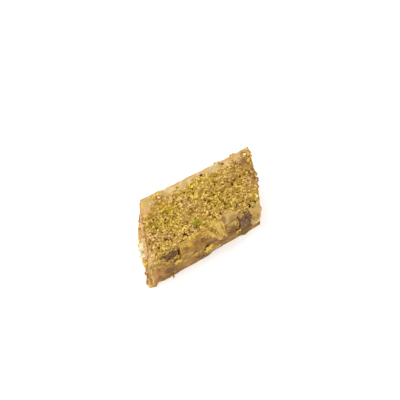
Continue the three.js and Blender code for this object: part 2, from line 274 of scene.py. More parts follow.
def spread(u, v, height):
    """How far a side stands out past the plan, at a share of the height."""
    return FLARE * (1 - height) + swell(u, v, height)


def tip_reach(u, v, height):
    front, _, left, _ = distances(u, v)
    return TIP_REACH * np.exp(-(front**2 + left**2) / 7) * (1 - height)


def side_push(u, v, height, step):
    """How far a cut edge stands out at a share of the height. Even steps are grooves, odd ones are ridges."""
    x, y = plan_point(u, v)
    below = np.floor(step)
    ragged = lerp(wander(x, y, below), wander(x, y, below + 1), step - below)
    out = spread(u, v, height) + tip_reach(u, v, height)
    return out + RAGGED * ragged - GROOVE * np.abs(1 - step % 2)


BROKEN_DEPTH = 3.0  # how far in the top pastry is broken away over the left opening


def broken_away(u):
    """How far the top pastry is broken away from the front edge."""
    ramp = lerp(1, 0.75, smoothstep(u, *LEFT_OPENING))
    return BROKEN_DEPTH * (ramp * within(LEFT_OPENING, u) + 0.85 * within(RIGHT_OPENING, u, 0.012))


print("the left side's foot stands out, mm:", round(float(spread(0.0, 0.5, 0.0)), 2))

# %% Places round the rim
def rim(count):
    """Evenly spaced shares round the rim, anticlockwise from the front left corner."""
    sides = [LENGTH, WIDTH_RIGHT, LENGTH, WIDTH_LEFT]
    steps = [round(count * side / sum(sides)) for side in sides]
    t = [np.arange(n) / n for n in steps]
    u = np.concatenate([t[0], np.ones(steps[1]), 1 - t[2], np.zeros(steps[3])])
    v = np.concatenate([np.zeros(steps[0]), t[1], np.ones(steps[2]), 1 - t[3]])
    return u, v


print("a rim of ten places:", [(round(float(u), 2), round(float(v), 2)) for u, v in zip(*rim(10))])

# %% [markdown]
# ## Meshes from arrays
#
# Thousands of leaves' edges and crumbs are too many to model one at a time, and Blender makes a mesh fastest
# from whole arrays. A shape here is its points and its faces. One function turns a shape into a piece that
# rides on the body. The others lay out faces: over a grid, round a thin sheet, and over a stack of rings.

# %% Pieces from arrays
pieces = {}


def placed(name, data):
    """An object of the scene that holds the data."""
    thing = bpy.data.objects.new(name, data)
    bpy.context.scene.collection.objects.link(thing)
    return thing


def make_piece(name, shape, smooth=True, **fields):
    """A mesh from points in millimetres of the plan, with one number for each point in each named field."""
    points, faces = shape
    mesh = bpy.data.meshes.new(name)
    mesh.vertices.add(len(points))
    mesh.vertices.foreach_set("co", ((points + PLAN_SHIFT) * MM).astype(np.float32).ravel())
    corners = np.concatenate([part.ravel() for part in faces])
    sizes = np.concatenate([np.full(len(part), part.shape[1]) for part in faces])
    mesh.loops.add(len(corners))
    mesh.loops.foreach_set("vertex_index", corners.astype(np.int32))
    mesh.polygons.add(len(sizes))
    mesh.polygons.foreach_set("loop_start", (np.cumsum(sizes) - sizes).astype(np.int32))
    mesh.polygons.foreach_set("use_smooth", np.full(len(sizes), smooth))
    for field, values in fields.items():
        layer = mesh.attributes.new(field, "FLOAT", "POINT")
        layer.data.foreach_set("value", np.asarray(values, np.float32).ravel())
    mesh.update(calc_edges=True)
    mesh.validate()
    piece = placed(name, mesh)
    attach(piece, "root")
    pieces[name] = piece
    print(f"{name}: {len(points)} points, {(sizes - 2).sum()} triangles")


# %% Sheets
def grid_faces(rows, columns, around_rows=False, around_columns=False):
    """Quads between neighbouring points of a grid, which may close on itself either way."""
    index = np.arange(rows * columns).reshape(rows, columns)
    if around_rows:
        index = np.concatenate([index, index[:1]])
    if around_columns:
        index = np.concatenate([index, index[:, :1]], axis=1)
    corners = [index[:-1, :-1], index[:-1, 1:], index[1:, 1:], index[1:, :-1]]
    return np.stack(corners, axis=-1).reshape(-1, 4)


def sheet(middle, thickness):
    """A closed thin sheet round a grid of points. Its thickness may vary over the grid."""
    rows, columns, _ = middle.shape
    normal = np.cross(np.gradient(middle, axis=1), np.gradient(middle, axis=0))
    normal /= np.maximum(np.linalg.norm(normal, axis=2, keepdims=True), TINY)
    half = normal * np.asarray(thickness)[..., None] / 2
    points = np.concatenate([(middle + half).reshape(-1, 3), (middle - half).reshape(-1, 3)])
    below = rows * columns
    index = np.arange(below).reshape(rows, columns)
    border = np.concatenate([index[0, :-1], index[:-1, -1], index[-1, :0:-1], index[:0:-1, 0]])
    after = np.roll(border, -1)
    upper = grid_faces(rows, columns)
    wall = np.stack([border, border + below, after + below, after], axis=-1)
    return points, [upper, upper[:, ::-1] + below, wall]


def leaf_grid(columns, rows, start=0):
    """Shares along and up a leaf at the points of a grid, from start to 1."""
    return np.meshgrid(np.linspace(start, 1, columns), np.linspace(start, 1, rows))


def make_leaf(name, middle, thickness, along, level, spots, seed, **fields):
    """A sheet as a piece, with a field for each kind of blotch, which is at least what is given for it."""
    for kind, places in spots.items():
        fields[kind] = np.maximum(blotches(along, level, places, seed), fields.get(kind, 0))
    both_faces = {field: np.tile(values.ravel(), 2) for field, values in fields.items()}
    make_piece(name, sheet(middle, thickness), **both_faces)


print("faces of a grid of 4 by 3 points:", len(grid_faces(4, 3)))

# %% Closed bodies
def capped(rings):
    """A closed body through a stack of rings of points, with a fan of triangles at either end."""
    levels, count = len(rings), len(rings[0])
    here = np.arange(count)
    after = np.roll(here, -1)
    middles = [ring.mean(axis=0, keepdims=True) for ring in (rings[0], rings[-1])]
    low, high, last = levels * count, levels * count + 1, (levels - 1) * count
    under = np.stack([after, here, np.full(count, low)], axis=-1)
    over = np.stack([here + last, after + last, np.full(count, high)], axis=-1)
    return np.concatenate(rings + middles), [grid_faces(levels, count, around_columns=True), under, over]


def together(shapes):
    """Several shapes as one."""
    points = [shape[0] for shape in shapes]
    sizes = [len(part) for part in points]
    starts = np.cumsum(sizes) - sizes
    faces = [part + start for (_, parts), start in zip(shapes, starts) for part in parts]
    return np.concatenate(points), faces


def flattened(shape, low=-np.inf, high=np.inf):
    """A shape with what reaches past the two heights pressed flat."""
    points, faces = shape
    points[:, 2] = np.clip(points[:, 2], low, high)
    return points, faces


# %% [markdown]
# ## Shader arithmetic
#
# A finish is easier to read as an expression, such as gold * (1 - soaked), than as a tangle of nodes. The
# class Amount wraps one socket of a shader tree, and each arithmetic sign adds the Math node that does it.
# Colours and vectors have their own nodes, because a Math node would turn them grey. Everything else comes
# from Finish.add, which sets a node's own settings before it fills or links its sockets.

# %% Amounts
class Amount:
    """A socket of a shader tree, which arithmetic signs extend with Math nodes."""

    def __init__(self, finish, socket):
        self.finish = finish
        self.socket = socket

    def calculate(self, operation, *values):
        return self.finish.add("ShaderNodeMath", {"operation": operation}, dict(enumerate(values)))

    def __add__(self, other):
        return self.calculate("ADD", self, other)

    def __sub__(self, other):
        return self.calculate("SUBTRACT", self, other)

    def __rsub__(self, other):
        return self.calculate("SUBTRACT", other, self)

    def __mul__(self, other):
        return self.calculate("MULTIPLY", self, other)

    __radd__ = __add__
    __rmul__ = __mul__

    def clear_of(self, low, high):
        """0 below low, 1 above high, smooth between."""
        sockets = {"Value": self, "From Min": low, "From Max": high}
        return self.finish.add("ShaderNodeMapRange", {"interpolation_type": "SMOOTHSTEP"}, sockets)


# %% Colours
def srgb(red, green, blue):
    """A colour as it is read off a screen, 0 to 255, as the linear light that shaders use."""
    shares = np.array([red, green, blue]) / 255
    light = np.where(shares <= 0.04045, shares / 12.92, ((shares + 0.055) / 1.055) ** 2.4)
    return (*(float(x) for x in light), 1.0)


print("baked gold as linear light:", [round(light, 3) for light in srgb(210, 172, 116)])

# %% A finish and its nodes
class Finish:
    """A material and the nodes that make it. A colour is a socket, or a triple as srgb takes it."""

    def __init__(self, name, **shader):
        self.material = bpy.data.materials.new(name)
        self.material.use_nodes = True
        self.tree = self.material.node_tree
        self.shader = self.tree.nodes["Principled BSDF"]
        for socket, value in shader.items():
            self.shader.inputs[socket.replace("_", " ").title().replace("Ior", "IOR")].default_value = value
        self.place = self.add("ShaderNodeTexCoord", output="Object")

    def add(self, kind, settings=None, sockets=None, output=0):
        """A node of a kind, its settings first, then its sockets' values or links; returns one output."""
        node = self.tree.nodes.new(kind)
        for name, value in (settings or {}).items():
            setattr(node, name, value)
        for name, value in (sockets or {}).items():
            if isinstance(value, Amount):
                self.tree.links.new(value.socket, node.inputs[name])
            else:
                node.inputs[name].default_value = value
        return Amount(self, node.outputs[output])

    def field(self, name):
        """A number that the mesh holds for each point."""
        return self.add("ShaderNodeAttribute", {"attribute_name": name}, output="Fac")

    def cloud(self, size, detail=3.0, stretch=(1, 1, 1)):
        """Soft noise from 0 to 1, with bumps of the given size in millimetres, stretched along the axes."""
        scale = tuple(1 / (size * MM * way) for way in stretch)
        at = self.add("ShaderNodeVectorMath", {"operation": "MULTIPLY"}, {0: self.place, 1: scale})
        sockets = {"Vector": at, "Scale": 1.0, "Detail": detail, "Roughness": 0.55}
        return self.add("ShaderNodeTexNoise", {}, sockets)

    def cells(self, size):
        """One random amount for each cell of the given size in millimetres."""
        sockets = {"Vector": self.place, "Scale": 1 / (size * MM)}
        colour = self.add("ShaderNodeTexVoronoi", {"feature": "F1"}, sockets, "Color")
        return self.add("ShaderNodeSeparateColor", {}, {0: colour})

    def ramp(self, amount, stops):
        """The colours of the stops, given as amounts and colours, with smooth steps between."""
        colour = self.add("ShaderNodeValToRGB", {}, {"Fac": amount}, "Color")
        elements = colour.socket.node.color_ramp.elements
        while len(elements) < len(stops):
            elements.new(0.5)
        for element, (at, value) in zip(elements, stops):
            element.position = at
            element.color = srgb(*value)
        return colour

    def mix(self, share, a, b):
        """Colour a turned into colour b by the share."""
        a, b = (colour if isinstance(colour, Amount) else srgb(*colour) for colour in (a, b))
        settings = {"data_type": "RGBA", "blend_type": "MIX", "clamp_factor": True}
        return self.add("ShaderNodeMix", settings, {0: share, 6: a, 7: b}, 2)

    def mottle(self, colour, size, strength, tint, low=0.48, high=0.64):
        """A colour with clouds of a tint."""
        return self.mix(self.cloud(size).clear_of(low, high) * strength, colour, tint)

    def blotch(self, colour, tints):
        """A colour with the tint of each kind of blotch where the mesh says."""
        for kind, tint in tints.items():
            colour = self.mix(self.field(kind), colour, tint)
        return colour

    def shade(self, colour, amount):
        """A colour made lighter or darker by an amount, 1 leaving it as it is."""
        return self.add("ShaderNodeVectorMath", {"operation": "SCALE"}, {0: colour, "Scale": amount})

    def relief(self, height, distance):
        """A bump from a height of 0 to 1 that stands the given distance in millimetres high."""
        return self.add("ShaderNodeBump", {}, {"Height": height, "Distance": distance * MM, "Strength": 1.0})

    def feed(self, **sockets):
        for name, value in sockets.items():
            self.tree.links.new(value.socket, self.shader.inputs[name.replace("_", " ").title()])
        return self.material


# %% [markdown]
# ## The cut edges of the leaves
#
# A side of baklava is a stack of thin leaves seen end on. Modelling each leaf as a whole sheet would hide
# nearly all of it inside the piece, so each is a ribbon instead: a flat ring that runs round the rim, three
# millimetres deep, in front of a plain core. The edge of each ribbon wanders in and out on its own, some
# stretches are broken off, and some curl up or down, so that shadows fall between the leaves as they do on
# real pastry. A knife presses the leaves together, so the front is smoother than the other sides.

# %% Leaf ribbons
RIBBON_POINTS = 500  # round the rim
CORE_POINTS = 300
# The upper half of a ribbon's section, from its inner end to its edge, which the lower half mirrors:
# millimetres out, height in half thicknesses, and how far it follows the curl.
UPPER_SECTION = [(-3.0, 1.0, 0.0), (-0.5, 1.0, 0.35), (-0.08, 0.75, 0.95), (0, 0.2, 1.0)]
SECTION = UPPER_SECTION + [(out, -level, bent) for out, level, bent in reversed(UPPER_SECTION)]
TONE_STEP = 0.618  # gives neighbouring leaves unlike tones


def leaf_heights(height, count, seed):
    """Unevenly spaced shares of the height for a stack's leaves, and each one's thickness in millimetres."""
    weights = np.random.default_rng(seed).uniform(0.7, 1.35, count)
    edges = np.concatenate([[0], np.cumsum(weights)]) / weights.sum()
    return zip((edges[:-1] + edges[1:]) / 2, np.diff(edges) * height)


def leaf_ribbons(floor, ceiling, surface, count, groups, lowest, set_back, seed):
    """One stack's ribbons and their fields: each leaf's tone, and how deep behind the cut each point lies.

    The stack has a groove for each group of leaves, and lowest is the number of its lowest leaf.
    """
    u, v = rim(RIBBON_POINTS)
    way, _ = way_out(u, v)
    pressed = 1 - 0.65 * (v < ON_RIM)
    shapes, tones, depths = [], [], []
    for number, (share, thick) in enumerate(leaf_heights(surface - floor, count, seed)):
        leaf = lowest + number
        inner = lerp(set_back(u, share) / width_at(u), 1, v)
        x, y = plan_point(u, inner)
        wave = WAVY * noise(x / 8, y / 8, lowest) * math.sin(math.pi * share)
        z = lerp(floor, ceiling(u, inner), share) + wave + 0.1 * noise(x / 3.1, y / 3.1, leaf + 200)
        push = side_push(u, v, z / TOP_SURFACE, lowest + share * groups * 2)
        own = waves(x, y, (0.16, 1.6, leaf + 300), (0.08, 0.55, leaf + 400))
        chip = smoothstep(noise(x / 3.4, y / 3.4, leaf + 500), 0.35, 0.6)
        edge = push + pressed * (own - 0.55 * chip * (0.6 + 0.4 * noise(x / 0.8, y / 0.8, number)))
        bend = noise(x / 4.5, y / 4.5, leaf + 600)
        lift = smoothstep(np.abs(bend), 0.45, 0.9)
        curl = pressed * lift * 0.4 * np.sign(bend)
        edge = edge + 0.25 * pressed * lift
        half = 0.5 * thick * (0.82 + 0.12 * noise(x / 2, y / 2, number + 700))
        ring = [moved(x, y, way, edge + out, z + level * half + bent * curl) for out, level, bent in SECTION]
        shapes.append((np.stack(ring, axis=1).reshape(-1, 3), [grid_faces(len(u), len(SECTION), True, True)]))
        depth = np.clip(push.mean() - edge, 0, 1)[:, None] + [-out for out, _, _ in SECTION]
        depths.append(np.clip(depth, 0, 1))
        tones.append(np.full(depth.shape, number * TONE_STEP % 1))
    return together(shapes), {"tone": tones, "depth": depths}


# %% The core behind the ribbons
def core(floor, ceiling, levels, set_back, inset, seed):
    """A plain closed body behind the ribbons, inset from the cut, lightly lumpy."""
    u, v = rim(CORE_POINTS)
    way, _ = way_out(u, v)
    rings = []
    for share in np.linspace(0, 1, levels):
        inner = lerp(set_back(u, share) / width_at(u), 1, v)
        x, y = plan_point(u, inner)
        z = lerp(floor, ceiling(u, inner), share)
        out = spread(u, v, z / TOP_SURFACE) - inset
        out = out + 0.12 * noise(x / 1.1, y / 1.1, share * 7 + seed)
        rings.append(moved(x, y, way, out, z))
    return capped(rings)


# %% [markdown]
# ### The bottom pastry
#
# Seventeen leaves and a core make the bottom stack. The lowest leaves have soaked up the most syrup and stand
# out as a lip, and the rest fall back behind the leaves that hang over the front.

# %% Bottom pastry
BOTTOM_LEAVES = 17
HOLLOW_DEPTH = 3.2  # how far the stack falls back below the right opening
LIP_SPAN = (0.09, 0.54)  # shares of the front's length
LIP_AGAIN = 0.86


def bottom_set_back(u, share):
    above_lip = smoothstep(share, 0.1, 0.28)
    hollow = HOLLOW_DEPTH * within(RIGHT_OPENING, u, 0.012) * smoothstep(share, 0.15, 0.5)
    behind_aprons = within(LONG_APRON, u) + smoothstep(u, *CORNER_APRON)
    lip = LIP * (within(LIP_SPAN, u) + 1.1 * bell(u, LIP_AGAIN, 0.03))
    return above_lip * 0.9 * behind_aprons + hollow - lip * (1 - above_lip)


shape, fields = leaf_ribbons(
    -TRIM, lambda u, v: BOTTOM_CEILING + TRIM, BOTTOM_CEILING, BOTTOM_LEAVES,
    groups=5, lowest=0, set_back=bottom_set_back, seed=3,
)
make_piece("bottom_leaves", flattened(shape, 0.0, BOTTOM_CEILING + 0.1), **fields)
shape = core(0.0, lambda u, v: BOTTOM_CEILING - 0.05, levels=12, set_back=bottom_set_back, inset=1.3, seed=3)
make_piece("bottom_core", shape)

# %% [markdown]
# ## The top pastry
#
# The upper face is a thin closed skin over a fine grid, rounded at the rim. It droops at the front corners
# and rises a little at the back ones, with the blisters of a baked leaf on its bare parts and the lumps of
# the crumb mat elsewhere. A heap of separate crumbs alone would show gaps, so the mat below them closes it.
# Under the skin lie thirteen ribbons.

# %% Cover and height of the upper face
def cover(u, v):
    """1 where ground pistachio covers the pastry, 0 on the bare rims and over the leaves that hang down."""
    x, y = plan_point(u, v)
    front, back, left, _ = distances(u, v)
    stray = 1.1 * wander(1.7 * x, 1.7 * y, 3)
    bare_back = lerp(0.8, 3.6, smoothstep(u, 0.15, 0.22)) - 3.6 * smoothstep(u, 0.88, 0.94)
    back_rim = bare_back + 1.5 * bell(u, 0.36, 0.1) + stray
    left_rim = lerp(1.8, 0.1, smoothstep(v, 0.15, 0.35)) + 4.6 * smoothstep(v, 0.7, 0.82) + 0.7 * stray
    shoulder = lerp(0.8, 2.6, smoothstep(u, 0.3, 0.6)) * within(SHOULDER, u) + 2.4 * bell(u, 0.71, 0.045)
    front_rim = shoulder + 2.6 * smoothstep(u, *CORNER_APRON) + broken_away(u) + 0.3 * stray
    mat = smoothstep(back, back_rim - 0.8, back_rim + 0.8)
    mat = mat * smoothstep(left, left_rim - 0.8, left_rim + 0.8)
    return mat * smoothstep(front, front_rim - 0.6, front_rim + 0.6)


def top_height(u, v):
    """Height of the top pastry's upper face, with the broad lumps of the mat."""
    x, y = plan_point(u, v)
    front, back, left, right = distances(u, v)
    rim_distance = np.minimum(np.minimum(front, back), np.minimum(left, right))
    uneven = 0.3 * noise(x / 16, y / 16, 1)
    rounded = 0.4 * np.exp(-rim_distance / 1.1)
    droop = 1.1 * within(SHOULDER, u, 0.04) + 1.4 * smoothstep(u, 0.88, 0.96)
    shoulder = droop * np.exp(-front / 2.2)
    front_left_tip = 1.3 * np.exp(-(front**2 + left**2) / 40)
    back_tips = 0.9 * np.exp(-(back**2) / 50) * (np.exp(-(left**2) / 50) + np.exp(-(right**2) / 50))
    mat = cover(u, v) * (MAT_THICKNESS + MAT_RELIEF * noise(x / MAT_BUMP, y / MAT_BUMP, 2))
    return TOP_SURFACE + uneven + mat - rounded - shoulder - front_left_tip + back_tips


print("share of the top that crumbs cover:", round(float(cover(*leaf_grid(60, 30)).mean()), 2))

# %% Rubbed spots
# Where the crumbs rubbed off and a smooth leaf shows: u, v and reach in millimetres.
RUBBED = [
    (0.715, 0.1, 2.3), (0.775, 0.045, 1.7), (0.925, 0.81, 3.0), (0.965, 0.72, 1.7),
    (0.975, 0.965, 1.5), (0.09, 0.87, 1.8), (0.06, 0.75, 1.2), (0.29, 0.9, 1.6), (0.88, 0.945, 1.8),
]


def strewn(u, v):
    """1 where crumbs lie on the leaf: the cover but for the spots where they rubbed off."""
    x, y = plan_point(u, v)
    ragged = 0.4 * noise(x / 1.1, y / 1.1, 67)
    left = cover(u, v)
    for spot_u, spot_v, reach in RUBBED:
        px, py = plan_point(spot_u, spot_v)
        away = np.hypot(x - px, y - py) / reach
        left = left * smoothstep(away + ragged, 0.7, 1.1)
    return left


print("share that they still cover:", round(float(strewn(*leaf_grid(60, 30)).mean()), 2))

# %% Holes in the mat, and its mound
STRIKING_PITS = [(0.17, 0.23), (0.3, 0.06), (0.7, 0.29), (0.65, 0.17), (0.45, 0.31), (0.8, 0.53)]
MORE_PITS = 110
PIT_DEPTH = 0.9
CREASE = plan_point(0.42, 0.055), plan_point(0.56, 0.09)  # ends of a groove painted as shadow behind the flap
MOUND = plan_point(0.15, 0.97)  # where the crumbs are heaped highest
MOUND_HEIGHT = 0.8
MOUND_REACH = 2.8


def pit_places():
    """Places x, y of holes in the mat, each with its radius: the striking ones, and chance for the rest."""
    draw = np.random.default_rng(17)
    u, v = np.concatenate([STRIKING_PITS, draw.uniform(0.02, 0.98, (MORE_PITS, 2))]).T
    radii = np.concatenate([np.full(len(STRIKING_PITS), 0.95), draw.uniform(0.35, 0.75, MORE_PITS)])
    return list(zip(*plan_point(u, v), radii))


PITS = pit_places()


def pitted(x, y):
    """1 in the middle of the nearest hole or crack of the mat, 0 away from all."""
    line = 1 - smoothstep(np.abs(noise(x / 1.5, y / 1.5, 57)), 0.04, 0.2)
    most = line * smoothstep(noise(x / 2.6, y / 2.6, 58), 0.0, 0.35)
    for px, py, radius in PITS:
        most = np.maximum(most, nearness(x, y, (px, py), radius))
    (x0, y0), (x1, y1) = CREASE
    along = ((x - x0) * (x1 - x0) + (y - y0) * (y1 - y0)) / ((x1 - x0) ** 2 + (y1 - y0) ** 2)
    along = np.clip(along, 0, 1)
    off = np.hypot(x - lerp(x0, x1, along), y - lerp(y0, y1, along))
    return np.maximum(most, 1 - smoothstep(off, 0.2, 0.75))


def fine_relief(u, v):
    """Crumb-sized lumps and holes in the mat, and long shallow blisters on bare pastry."""
    x, y = plan_point(u, v)
    crumbs = waves(x, y, (0.16, 0.9, 61), (0.1, 0.45, 62)) - PIT_DEPTH * pitted(x, y)
    blisters = 0.16 * noise(x / 5, y / 1.8, 63) + 0.06 * noise(x / 1.5, y / 0.9, 64)
    return lerp(blisters, crumbs, strewn(u, v)) + MOUND_HEIGHT * nearness(x, y, MOUND, MOUND_REACH)


print("holes in the mat:", len(PITS))

# %% Blotches of the uppermost leaf
# Blotches of the uppermost leaf by kind: share of the length, millimetres behind the front, their reach in
# each and their strength.
TOP_BLOTCHES = {
    "pale": [
        (0.31, 25.3, 0.06, 2.2, 0.6), (0.68, 27.5, 0.05, 1.8, 0.7), (0.6, 26.5, 0.05, 1.6, 0.5),
        (0.86, 26.0, 0.04, 2.5, 0.35), (0.45, 29.5, 0.06, 0.8, 0.4), (0.7, 4.6, 0.02, 0.9, 0.35),
        (0.28, 29.0, 0.05, 1.6, 0.6), (0.975, 28.6, 0.02, 1.4, 0.5),
    ],
    "olive": [
        (0.53, 26.3, 0.04, 1.8, 0.6), (0.46, 24.6, 0.04, 1.6, 0.6), (0.64, 25.0, 0.05, 1.6, 0.5),
        (0.33, 28.6, 0.03, 1.0, 0.6), (0.25, 27.0, 0.03, 1.5, 0.4), (0.02, 29.0, 0.03, 2.0, 0.6),
        (0.73, 3.2, 0.06, 3.0, 0.35),
    ],
    "rosy": [
        (0.16, 29.0, 0.05, 1.5, 0.7), (0.03, 25.0, 0.03, 3.0, 0.5), (0.75, 28.3, 0.04, 1.2, 0.4),
        (0.88, 28.0, 0.03, 1.6, 0.5),
    ],
    "brown": [
        (0.93, 23.8, 0.055, 3.4, 0.95), (0.968, 21.2, 0.02, 1.8, 0.9), (0.67, 1.6, 0.03, 2.0, 0.7),
        (0.75, 0.6, 0.06, 2.0, 0.6), (0.74, 28.6, 0.03, 1.0, 0.6), (0.54, 25.6, 0.03, 1.0, 0.4),
    ],
}
print("blotches of the uppermost leaf:", {kind: len(spots) for kind, spots in TOP_BLOTCHES.items()})

# %% Top pastry
TOP_LEAVES = 13
TOP_GRID = (236, 120)
TOP_LEAF = 0.42  # its thickness


def top_set_back(u, share):
    """The same at every share of the height, because the stack broke through."""
    return broken_away(u)


def under_skin(u, v):
    return top_height(u, v) - 0.35 - 0.4 * cover(u, v)


def top_skin():
    """The uppermost leaf's points, which follow the broken edge at the front, and its fields."""
    a, b = leaf_grid(*TOP_GRID)
    v = lerp(broken_away(a) / width_at(a), 1, b)
    x, y = plan_point(a, v)
    way, near = way_out(a, b, reach=1.2)
    push = side_push(a, b, 1.0, 28.0) + 0.3 + 0.12 * noise(x / 1.7, y / 1.7, 65)
    z = top_height(a, v) + fine_relief(a, v) - TOP_LEAF / 2
    middle = moved(x, y, way * near[..., None], push, z)
    return middle, a, v * width_at(a), {"cover": strewn(a, v), "pit_shade": pitted(middle[..., 0], middle[..., 1])}


shape, fields = leaf_ribbons(
    TOP_FLOOR - TRIM, under_skin, TOP_SURFACE, TOP_LEAVES, groups=4, lowest=20, set_back=top_set_back, seed=5
)
make_piece("top_leaves", flattened(shape, TOP_FLOOR - 0.05), **fields)
shape = core(
    TOP_FLOOR, lambda u, v: under_skin(u, v) - 0.1, levels=10, set_back=top_set_back, inset=1.2, seed=9
)
make_piece("top_core", shape)
middle, along, behind, fields = top_skin()
make_leaf("top_leaf", middle, TOP_LEAF, along, behind, TOP_BLOTCHES, 119, **fields)

# %% [markdown]
# ## Leaves that hang over the front
#
# Where the knife came down, the leaves dragged over the cut and stuck to it. A long apron covers most of the
# front, with a hole torn through it on the left, and a short one bulges over the right corner. The uppermost
# leaf lies over the long one as a torn flap, with a tongue at either end, and one more leaf wraps round the
# front left corner. Each is a closed sheet bent by a formula, with far more folds than the measured solid
# has, but along the same surface. Beside its shape, each keeps a few numbers for every point, which say where
# it is darker or paler: partly its own colour, partly painted shade and highlight.

# %% Aprons
def apron(span, hem, bulge, seed, cells):
    """An apron's points, its thickness, and each point's share of the front and height."""
    a, b = leaf_grid(*cells)
    share = lerp(*span, a)
    torn = within(LEFT_OPENING, share)
    low = hem + 0.7 * noise(7 * a, 0, seed) + 0.3 * noise(34 * a, 0, seed + 3)
    ragged_tear = 0.5 * torn * noise(40 * a, 0, seed + 6)
    z = lerp(low, TOP_FLOOR + lerp(3.2, -1, torn) + ragged_tear, b)
    side = np.minimum(a - 0.5, 0.15) * 0.035 * noise(z / 2.1, 2 * np.sign(a - 0.5), seed + 1)
    x, y = plan_point(share + side, 0)
    hang = np.maximum(smoothstep(1 - b, 0, 0.13), torn)
    tucked = 0.9 * (1 - smoothstep(a, 0, 0.3)) if span[0] > 0.5 else 0.5 * (1 - smoothstep(a, 0, 0.06))
    out = lerp(-1.1, 1.0 - tucked, hang) + 0.35 * noise(6 * a, 3 * b, seed + 2) * hang
    folds = 0.26 * noise(x / 3.3 + z / 9, z / 2.6, seed + 4)
    folds = folds + 0.13 * noise(x / 1.3 + z / 4, z / 1.1, seed + 5)
    bulged = bulge * np.sin(math.pi * a) * np.sin(math.pi * b)
    thickness = 0.25 + 0.45 * smoothstep(b, 0, 0.25) * smoothstep(1 - b, -0.1, 0.15)
    return xyz(x, y - out - bulged - folds * hang, z), thickness, share, z


# Blotches by kind: share of the length, height, their reach in each and their strength.
APRON_BLOTCHES = {
    # Some brown blotches are painted shade: the band under the torn flap at 0.58 and the hollow under it at
    # 0.4. The pale one at 0.376 is a painted highlight along a crease.
    "brown": [
        (0.4, 12.5, 0.03, 2.5, 0.4), (0.47, 15.5, 0.04, 2.0, 0.6), (0.58, 10.3, 0.12, 1.8, 0.7),
        (0.72, 11.5, 0.06, 4.0, 0.5), (0.45, 4.5, 0.05, 1.5, 0.5), (0.66, 4.5, 0.05, 1.5, 0.5),
        (0.2, 13.0, 0.05, 1.6, 0.6), (0.52, 12.5, 0.05, 1.6, 0.6),
        (0.17, 7.0, 0.08, 5.0, 0.95), (0.4, 7.0, 0.05, 3.0, 0.6), (0.25, 3.0, 0.05, 2.0, 0.5),
        (0.66, 6.5, 0.07, 1.8, 0.6), (0.43, 4.0, 0.07, 2.4, 0.85), (0.735, 10.0, 0.06, 5.0, 0.85),
    ],
    "olive": [
        (0.25, 6.0, 0.04, 3.0, 0.6), (0.46, 6.5, 0.04, 3.0, 0.5), (0.31, 10.0, 0.05, 4.0, 0.6),
        (0.21, 10.5, 0.04, 1.6, 0.5), (0.56, 7.5, 0.03, 1.6, 0.5),
    ],
    "rosy": [(0.32, 3.0, 0.035, 1.8, 0.7), (0.47, 11.0, 0.02, 1.5, 0.5), (0.09, 7.0, 0.03, 5.0, 0.5)],
    "pale": [
        (0.376, 8.2, 0.03, 0.7, 0.6), (0.608, 3.6, 0.05, 0.9, 0.6), (0.796, 11.9, 0.012, 4.0, 0.8),
        (0.43, 9.0, 0.012, 1.5, 0.4), (0.34, 12.0, 0.03, 1.2, 0.35), (0.73, 15.8, 0.06, 0.8, 0.4),
        (0.3, 8.0, 0.03, 1.2, 0.4),
    ],
}
BULGE_BLOTCHES = {
    # The brown blotch along its left edge is painted shade.
    "brown": [(0.915, 9.0, 0.01, 5.0, 0.6)],
    "olive": [(0.955, 11.5, 0.035, 4.0, 0.75), (0.93, 15.0, 0.02, 1.5, 0.4)],
    "rosy": [(0.985, 15.5, 0.02, 2.0, 0.4)],
    "pale": [(0.945, 6.4, 0.04, 1.3, 0.7), (0.975, 14.5, 0.015, 2.0, 0.4)],
}
long_apron = apron(LONG_APRON, hem=1.7, bulge=0.3, seed=5, cells=(240, 64))
make_leaf("long_apron", *long_apron, APRON_BLOTCHES, 101)
corner_apron = apron(CORNER_APRON, hem=4.6, bulge=1.1, seed=31, cells=(50, 60))
make_leaf("corner_apron", *corner_apron, BULGE_BLOTCHES, 107)

